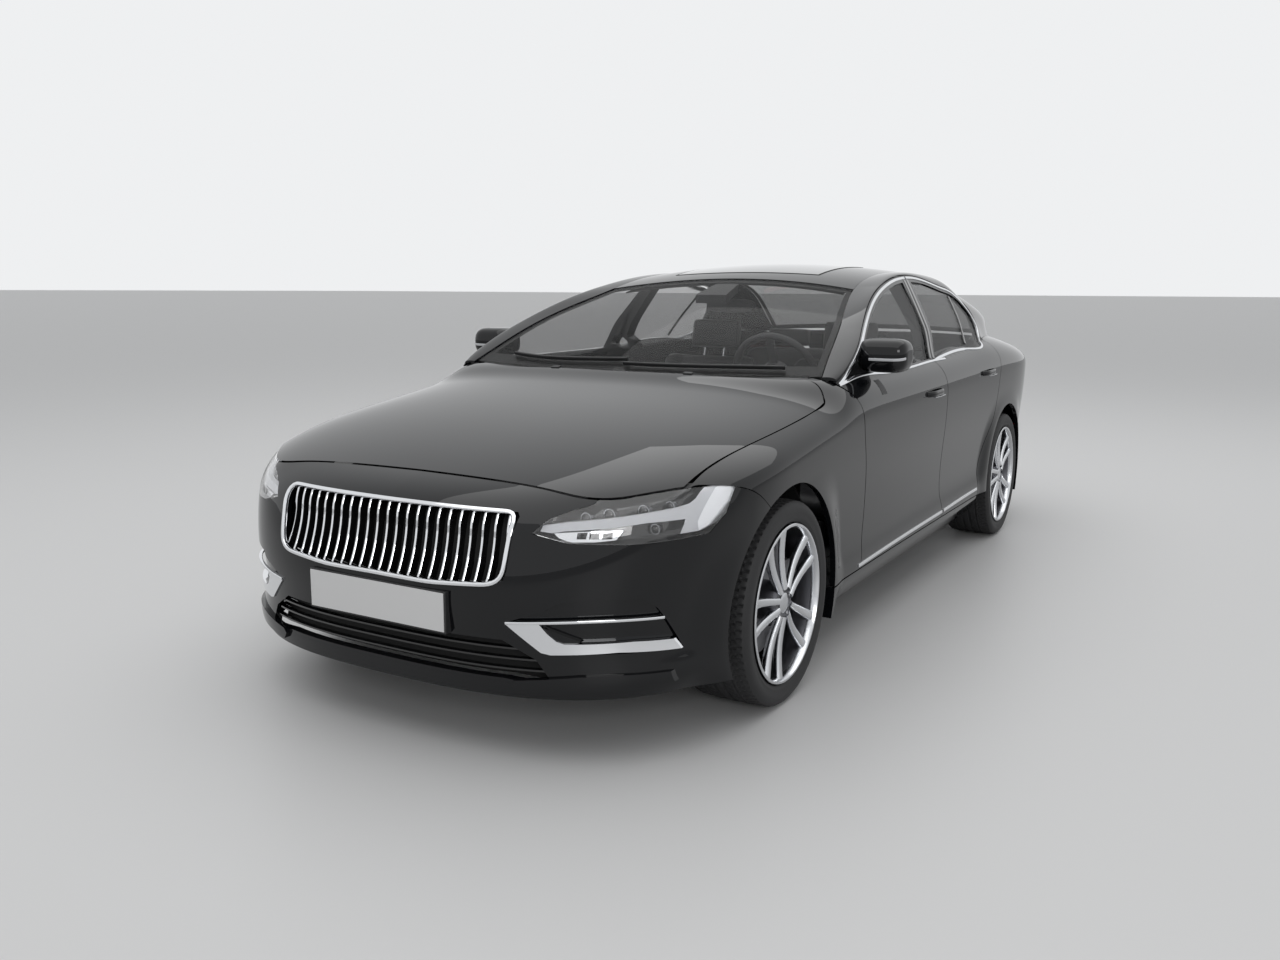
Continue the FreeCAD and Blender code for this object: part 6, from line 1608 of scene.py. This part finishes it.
edge = tailLoop(exhaustHole(), 72)
out = np.tile([0.0, 1.0, 0.0], (len(edge), 1))
trim = stripMesh("trim", edge + (0, 0.001, 0), out, barSection(tail["trimDepth"], tail["trimWide"]), True)
pair("exhaustTrim", trim, "chrome")
x, wide, low, high, share = exhaust.values()
room, back = tail["shadeRoom"], edge[:, 1].min() - tail["shadeSet"]
pair("exhaustShade", blockMesh("shade", x - wide - room, x + wide + room, back, back + tail["shadeWall"],
                               low - room, high + room), "dark")
a, b = shares(60, 16)
x, z = mix(-tail["stripHalf"], tail["stripHalf"], a), mix(0.418, 0.430, b)
strip = slabMesh("strip", *(spot(x, tailS(x, z) - depth, z) for depth in (-0.0025, 0.010)))
place("tailStrip", strip, finish["chrome"])
backY = float(tailS(np.array(0.0), np.array(tail["plateMiddle"]))) - halfLength
holder = blockMesh("holder", -0.268, 0.268, backY - 0.040, backY + 0.003, 0.505, 0.631, plate["holderEdge"])
place("rearPlateHolder", holder, finish["plastic"])
face = blockMesh("plate", -plate["half"], plate["half"], backY + 0.002, backY + 0.005, tail["plateLow"],
                 tail["plateHigh"], plate["edge"])
place("rearPlate", face, finish["plate"])

inside = {"deep": car["glassInset"] / 2 + car["glassWall"] + 0.0002, "band": 0.0012, "bandEdge": 0.018,
          "housingDeep": 0.045, "mirrorZ": 1.243, "mirrorHalf": (0.118, 0.030), "mirrorFace": 2.318,
          "mirrorDepth": 0.018, "paneWall": 0.0015, "paneShares": (0.95, 0.88)}
deep = inside["deep"]


def frit(region, a0, a1, b0, b1):
    # black band printed on the inside of a glass
    part = lambda a, b: region(mix(a0, a1, a), mix(b0, b1, b))
    return roofSlab("frit", part, *shares(50, 12), deep, deep + inside["band"])


for name, end, foot, head in (("windscreenEdge", "front", 0.085, 0.035),
                              ("rearScreenEdge", "rear", 0.04, 0.06)):
    side = inside["bandEdge"]
    bands = [(0, 1, 0, foot), (0, 1, 1 - head, 1), (0, side, foot, 1 - head), (1 - side, 1, foot, 1 - head)]
    place(name, joined(name, [frit(screens[end], *band) for band in bands]), finish["dark"])
housing = lambda a, b: (mix(-0.075, 0.075, a) * mix(1, 0.75, b), mix(2.105, 2.265, b))
cover = roofSlab("housing", housing, *shares(24, 24), deep, inside["housingDeep"])
place("sensorHousing", cover, finish["plastic"])
level, at = inside["mirrorZ"], inside["mirrorFace"] - halfLength
face = bentOval(0.0, level, *inside["mirrorHalf"], 40)
innerMirror = prismMesh("innerMirror", face, 1, at - inside["mirrorDepth"], at)
place("innerMirror", innerMirror, finish["plastic"])
pane = (face - (0, level)) * inside["paneShares"] + (0, level)
place("innerMirrorPane", prismMesh("pane", pane, 1, at, at + inside["paneWall"]), finish["mirror"])
blades = ([(0.64, 1.458), (0.40, 1.428), (0.10, 1.408), (-0.02, 1.408)],
          [(-0.02, 1.438), (-0.22, 1.432), (-0.46, 1.447), (-0.60, 1.477)])
wipers = [topStrip("blade", points, roofHeight, 0.016, 0.010, 0.009) for points in blades]
place("wipers", joined("wipers", wipers), finish["plastic"])
jet = {"x": 0.30, "half": 0.018, "front": 1.335, "rear": 1.355, "high": 0.004, "sunk": 0.002}
jets = []
for x in (-jet["x"], jet["x"]):
    cap = lambda a, b: (mix(x - jet["half"], x + jet["half"], a), mix(jet["front"], jet["rear"], b))
    jets.append(slabMesh("jet", *(topSheet(cap, rolled, *shares(12, 12), drop)
                                  for drop in (-jet["high"], jet["sunk"]))))
place("washerJets", joined("jets", jets), finish["plastic"], "hood")
print("tail and glass details ready")


# Cabin: padded seats with sewn channels, their shells, the headliner, the shelf and the displays


sewn = {"depth": 0.010, "width": 0.006, "crossDepth": 0.008, "crossWidth": 0.007, "seam": 0.004,
        "seamWidth": 0.008, "plump": 0.10, "square": 0.62}


def padMesh(name, points, x0, half, thick, channels=(), crossings=(), bolster=0.0, grid=(64, 88)):
    # crowned pad along a side path; its upper side has sewn channels and raised edges
    n, k = grid
    a = 0.5 - 0.5 * np.cos(np.linspace(0, math.pi, n))
    s, z = path(points)(a)
    run, climb = np.gradient(s), np.gradient(z)
    long = np.hypot(run, climb)
    up = np.stack([0 * s, -climb / long, run / long], -1)
    if up[:, 2].sum() < 0:
        up = -up
    end = np.maximum(0.0, 1 - np.abs(2 * a - 1) ** 7)[:, None] ** 0.5
    turn = around360(k)[None] + math.pi / k
    across = bent(np.cos(turn), sewn["square"]) * mix(0.90, 1.0, end)
    level = bent(np.sin(turn), sewn["square"]) * (0.06 + 0.94 * end)
    top, reach = np.clip(level * 2, 0, 1), np.abs(across)
    high = level * (1 + sewn["plump"] * (1 - across ** 2)) * thick / 2
    high += bolster * top * smoothStep((reach - 0.52) / 0.3)
    for share in channels:
        high -= sewn["depth"] * top * np.exp(-((reach - share) * half / sewn["width"]) ** 2)
    length = np.hypot(np.diff(s), np.diff(z)).sum()
    middle = smoothStep((0.55 - reach) / 0.08)
    for share in crossings:
        away = (a[:, None] - share) * length / sewn["crossWidth"]
        high -= sewn["crossDepth"] * top * middle * np.exp(-away ** 2)
    seam = sewn["seam"] * np.exp(-(level * thick / 2 / sewn["seamWidth"]) ** 2) * end
    rings = spot(0 * s, s, z)[:, None] + up[:, None] * high[..., None]
    rings[..., 0] = x0 + across * half * (1 - seam / half)
    return tubeMesh(name, rings)


def pad(name, mesh):
    piece = place(name, mesh, finish["seat"], "root", 60)
    return piece


seat = {"start": station(1.42), "offset": 0.365, "rodHalf": 0.055, "rodRadius": 0.006, "rodPoints": 8,
        "shellHalf": 0.235, "shellWall": 0.04, "baseHalf": 0.18, "baseEdge": 0.02}
bench = {"start": station(1.778), "half": 0.615, "channels": (0.30, 0.62), "grid": (56, 120)}
# side paths of the pads in (station, height); backrests run downward
padPaths = {
    "cushion": [(seat["start"] + s, z) for s, z in ((0.015, 0.375), (0.20, 0.372), (0.36, 0.358),
                                                    (0.50, 0.350))],
    "backrest": [(2.838, 0.975), (2.755, 0.760), (2.690, 0.560), (2.640, 0.430)],
    "headrest": [(2.905, 1.160), (2.892, 1.090), (2.878, 1.020)],
    "shell": [(2.885, 0.95), (2.81, 0.76), (2.745, 0.56), (2.70, 0.40)],
    "bench": [(bench["start"] + s, z) for s, z in ((0.012, 0.432), (0.20, 0.428), (0.42, 0.412))],
    "benchBack": [(3.830, 0.975), (3.760, 0.800), (3.680, 0.600), (3.640, 0.500)],
    "rearHeadrest": [(3.862, 1.085), (3.852, 1.040), (3.842, 0.990)],
}
padSizes = {
    "cushion": (0.258, 0.130, (0.60,), (0.33, 0.52, 0.71), 0.030),
    "backrest": (0.250, 0.105, (0.60,), (0.3, 0.48, 0.66, 0.82), 0.032),
    "headrest": (0.132, 0.095, (), (0.5,), 0.0, (40, 56)),
    "shell": (seat["shellHalf"], seat["shellWall"]),
    "bench": (bench["half"], 0.135, bench["channels"], (0.4, 0.7), 0.012, bench["grid"]),
    "benchBack": (bench["half"], 0.120, bench["channels"], (0.3, 0.5, 0.7), 0.016, bench["grid"]),
    "rearHeadrest": (0.130, 0.085, (), (), 0.0, (36, 52)),
}


def padAt(kind, x0=0.0):
    return padMesh(kind, padPaths[kind], x0, *padSizes[kind])


shell, posts = [], []
for side, x0 in (("Left", seat["offset"]), ("Right", -seat["offset"])):
    cushion = pad("cushion" + side, padAt("cushion", x0))
    pad("backrest" + side, padAt("backrest", x0))
    pad("headrest" + side, padAt("headrest", x0))
    if side == "Left":
        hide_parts("front_seats")
    shell.append(padAt("shell", x0))
    shell.append(blockMesh("base", x0 - seat["baseHalf"], x0 + seat["baseHalf"], 2.14 - halfLength,
                           2.60 - halfLength, 0.215, 0.33, seat["baseEdge"]))
    for dx in (-seat["rodHalf"], seat["rodHalf"]):
        rod = spot(np.full(seat["rodPoints"], x0 + dx), *(np.linspace(low, high, seat["rodPoints"])
                                                          for low, high in ((2.855, 2.885), (0.95, 1.06))))
        posts.append(sweepMesh("post", rod, roundSection(seat["rodRadius"])))
place("seatShells", joined("seatShells", shell), finish["trim"], "root", 50)
place("headrestPosts", joined("posts", posts), finish["satin"])

benchPad = pad("benchCushion", padAt("bench"))
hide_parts("rear_bench")
pad("benchBackrest", padAt("benchBack"))
for side, x0 in (("Left", seat["offset"]), ("Right", -seat["offset"])):
    pad("rearHeadrest" + side, padAt("rearHeadrest", x0))

# headliner under the roof and the parcel shelf behind the bench
liner = roofRows(1.500, roof["header"][1], 1.905, roof["back"][1], 0.05)
lining = roofSlab("headliner", liner, *shares(40, 50), 0.028, 0.034)
place("headliner", lining, finish["liner"])
shelf = {"half": 0.60, "front": 3.90, "rear": 4.24, "low": 0.905, "high": 0.925, "edge": 0.006}
board = blockMesh("shelf", -shelf["half"], shelf["half"], shelf["front"] - halfLength,
                  shelf["rear"] - halfLength, shelf["low"], shelf["high"], shelf["edge"])
place("parcelShelf", board, finish["trim"])

# displays on the CAD dashboard: middle, half width, near, far, low and high
displays = {"driverDisplay": (seat["offset"], 0.15, 0.012, 0.020, 0.885, 0.975),
            "middleDisplay": (0.0, 0.085, 0.055, 0.064, 0.700, 0.900)}
rearY = station(1.175) + 0.330 - halfLength
for name, (x, half, near, far, low, high) in displays.items():
    display = blockMesh("display", x - half, x + half, rearY + near, rearY + far, low, high, 0.004)
    place(name, display, finish["screen"])

# the CAD pieces that stay take their finishes
stays = {"plastic": ("cowl", "fuel_tank"), "floor": ("floor_pan", "subframe_front", "subframe_rear"),
         "cast": ("engine_block", "knuckle_left", "knuckle_right"), "steel": ("exhaust",),
         "trim": ("dashboard", "steering_wheel")}
for look, names in stays.items():
    for name in names:
        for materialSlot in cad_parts[name].material_slots:
            materialSlot.material = finish[look]
print("cabin ready")


# Floor, light and camera

camera = {"lens": 30.71, "sensor": 36.0, "near": 0.05, "place": (2.2255, -4.7315, 1.3126),
          "yaw": -0.53545, "pitch": -0.17257, "roll": 0.00521}
data = bpy.data.cameras.new("photoCamera")
data.lens, data.sensor_width, data.clip_start = camera["lens"], camera["sensor"], camera["near"]
eye = bpy.data.objects.new("photoCamera", data)
eye.matrix_world = (Matrix.Translation(camera["place"]) @ Matrix.Rotation(-camera["yaw"], 4, "Z")
                    @ Matrix.Rotation(math.pi / 2 + camera["pitch"], 4, "X")
                    @ Matrix.Rotation(camera["roll"], 4, "Z"))
bpy.context.collection.objects.link(eye)
bpy.context.scene.camera = eye

floorMesh = bpy.data.meshes.new("floor")
reach = 400.0
corners = [(-reach, -reach, 0), (reach, -reach, 0), (reach, reach, 0), (-reach, reach, 0)]
floorMesh.from_pydata(corners, [], [(0, 1, 2, 3)])
floor = bpy.data.objects.new("floor", floorMesh)
bpy.context.collection.objects.link(floor)
floorMesh.materials.append(material("paleFloor", color=(0.62, 0.62, 0.62), rough=0.45))

# the world lights diffuse surfaces less than it shows in reflections, glass and the view

world = bpy.data.worlds.new("studio")
bpy.context.scene.world = world
world.use_nodes = True
nodes, links = world.node_tree.nodes, world.node_tree.links
rays, strength = nodes.new("ShaderNodeLightPath"), nodes.new("ShaderNodeMapRange")
either, seen = nodes.new("ShaderNodeMath"), nodes.new("ShaderNodeMath")
either.operation = seen.operation = "MAXIMUM"
links.new(rays.outputs["Is Camera Ray"], either.inputs[0])
links.new(rays.outputs["Is Glossy Ray"], either.inputs[1])
links.new(either.outputs[0], seen.inputs[0])
links.new(rays.outputs["Is Transmission Ray"], seen.inputs[1])
strength.inputs["To Min"].default_value = 0.55
strength.inputs["To Max"].default_value = 1.0
links.new(seen.outputs[0], strength.inputs["Value"])
links.new(strength.outputs[0], nodes["Background"].inputs["Strength"])
nodes["Background"].inputs["Color"].default_value = (0.86, 0.87, 0.88, 1)


def softLamp(name, place, target, size, power):
    data = bpy.data.lights.new(name, "AREA")
    data.shape, data.size, data.size_y, data.energy = "RECTANGLE", size[0], size[1], power
    lamp = bpy.data.objects.new(name, data)
    lamp.location = place
    lamp.rotation_euler = (Vector(target) - Vector(place)).to_track_quat("-Z", "Y").to_euler()
    bpy.context.collection.objects.link(lamp)


softLamp("ceiling", (0, -0.5, 7.5), (0, -0.5, 0), (10.0, 15.0), 420)
softLamp("frontFill", (6.5, -9.0, 4.0), (0, -1.0, 0.6), (4.0, 2.5), 150)
bpy.context.scene.view_settings.view_transform = "Standard"

print("scene ready")
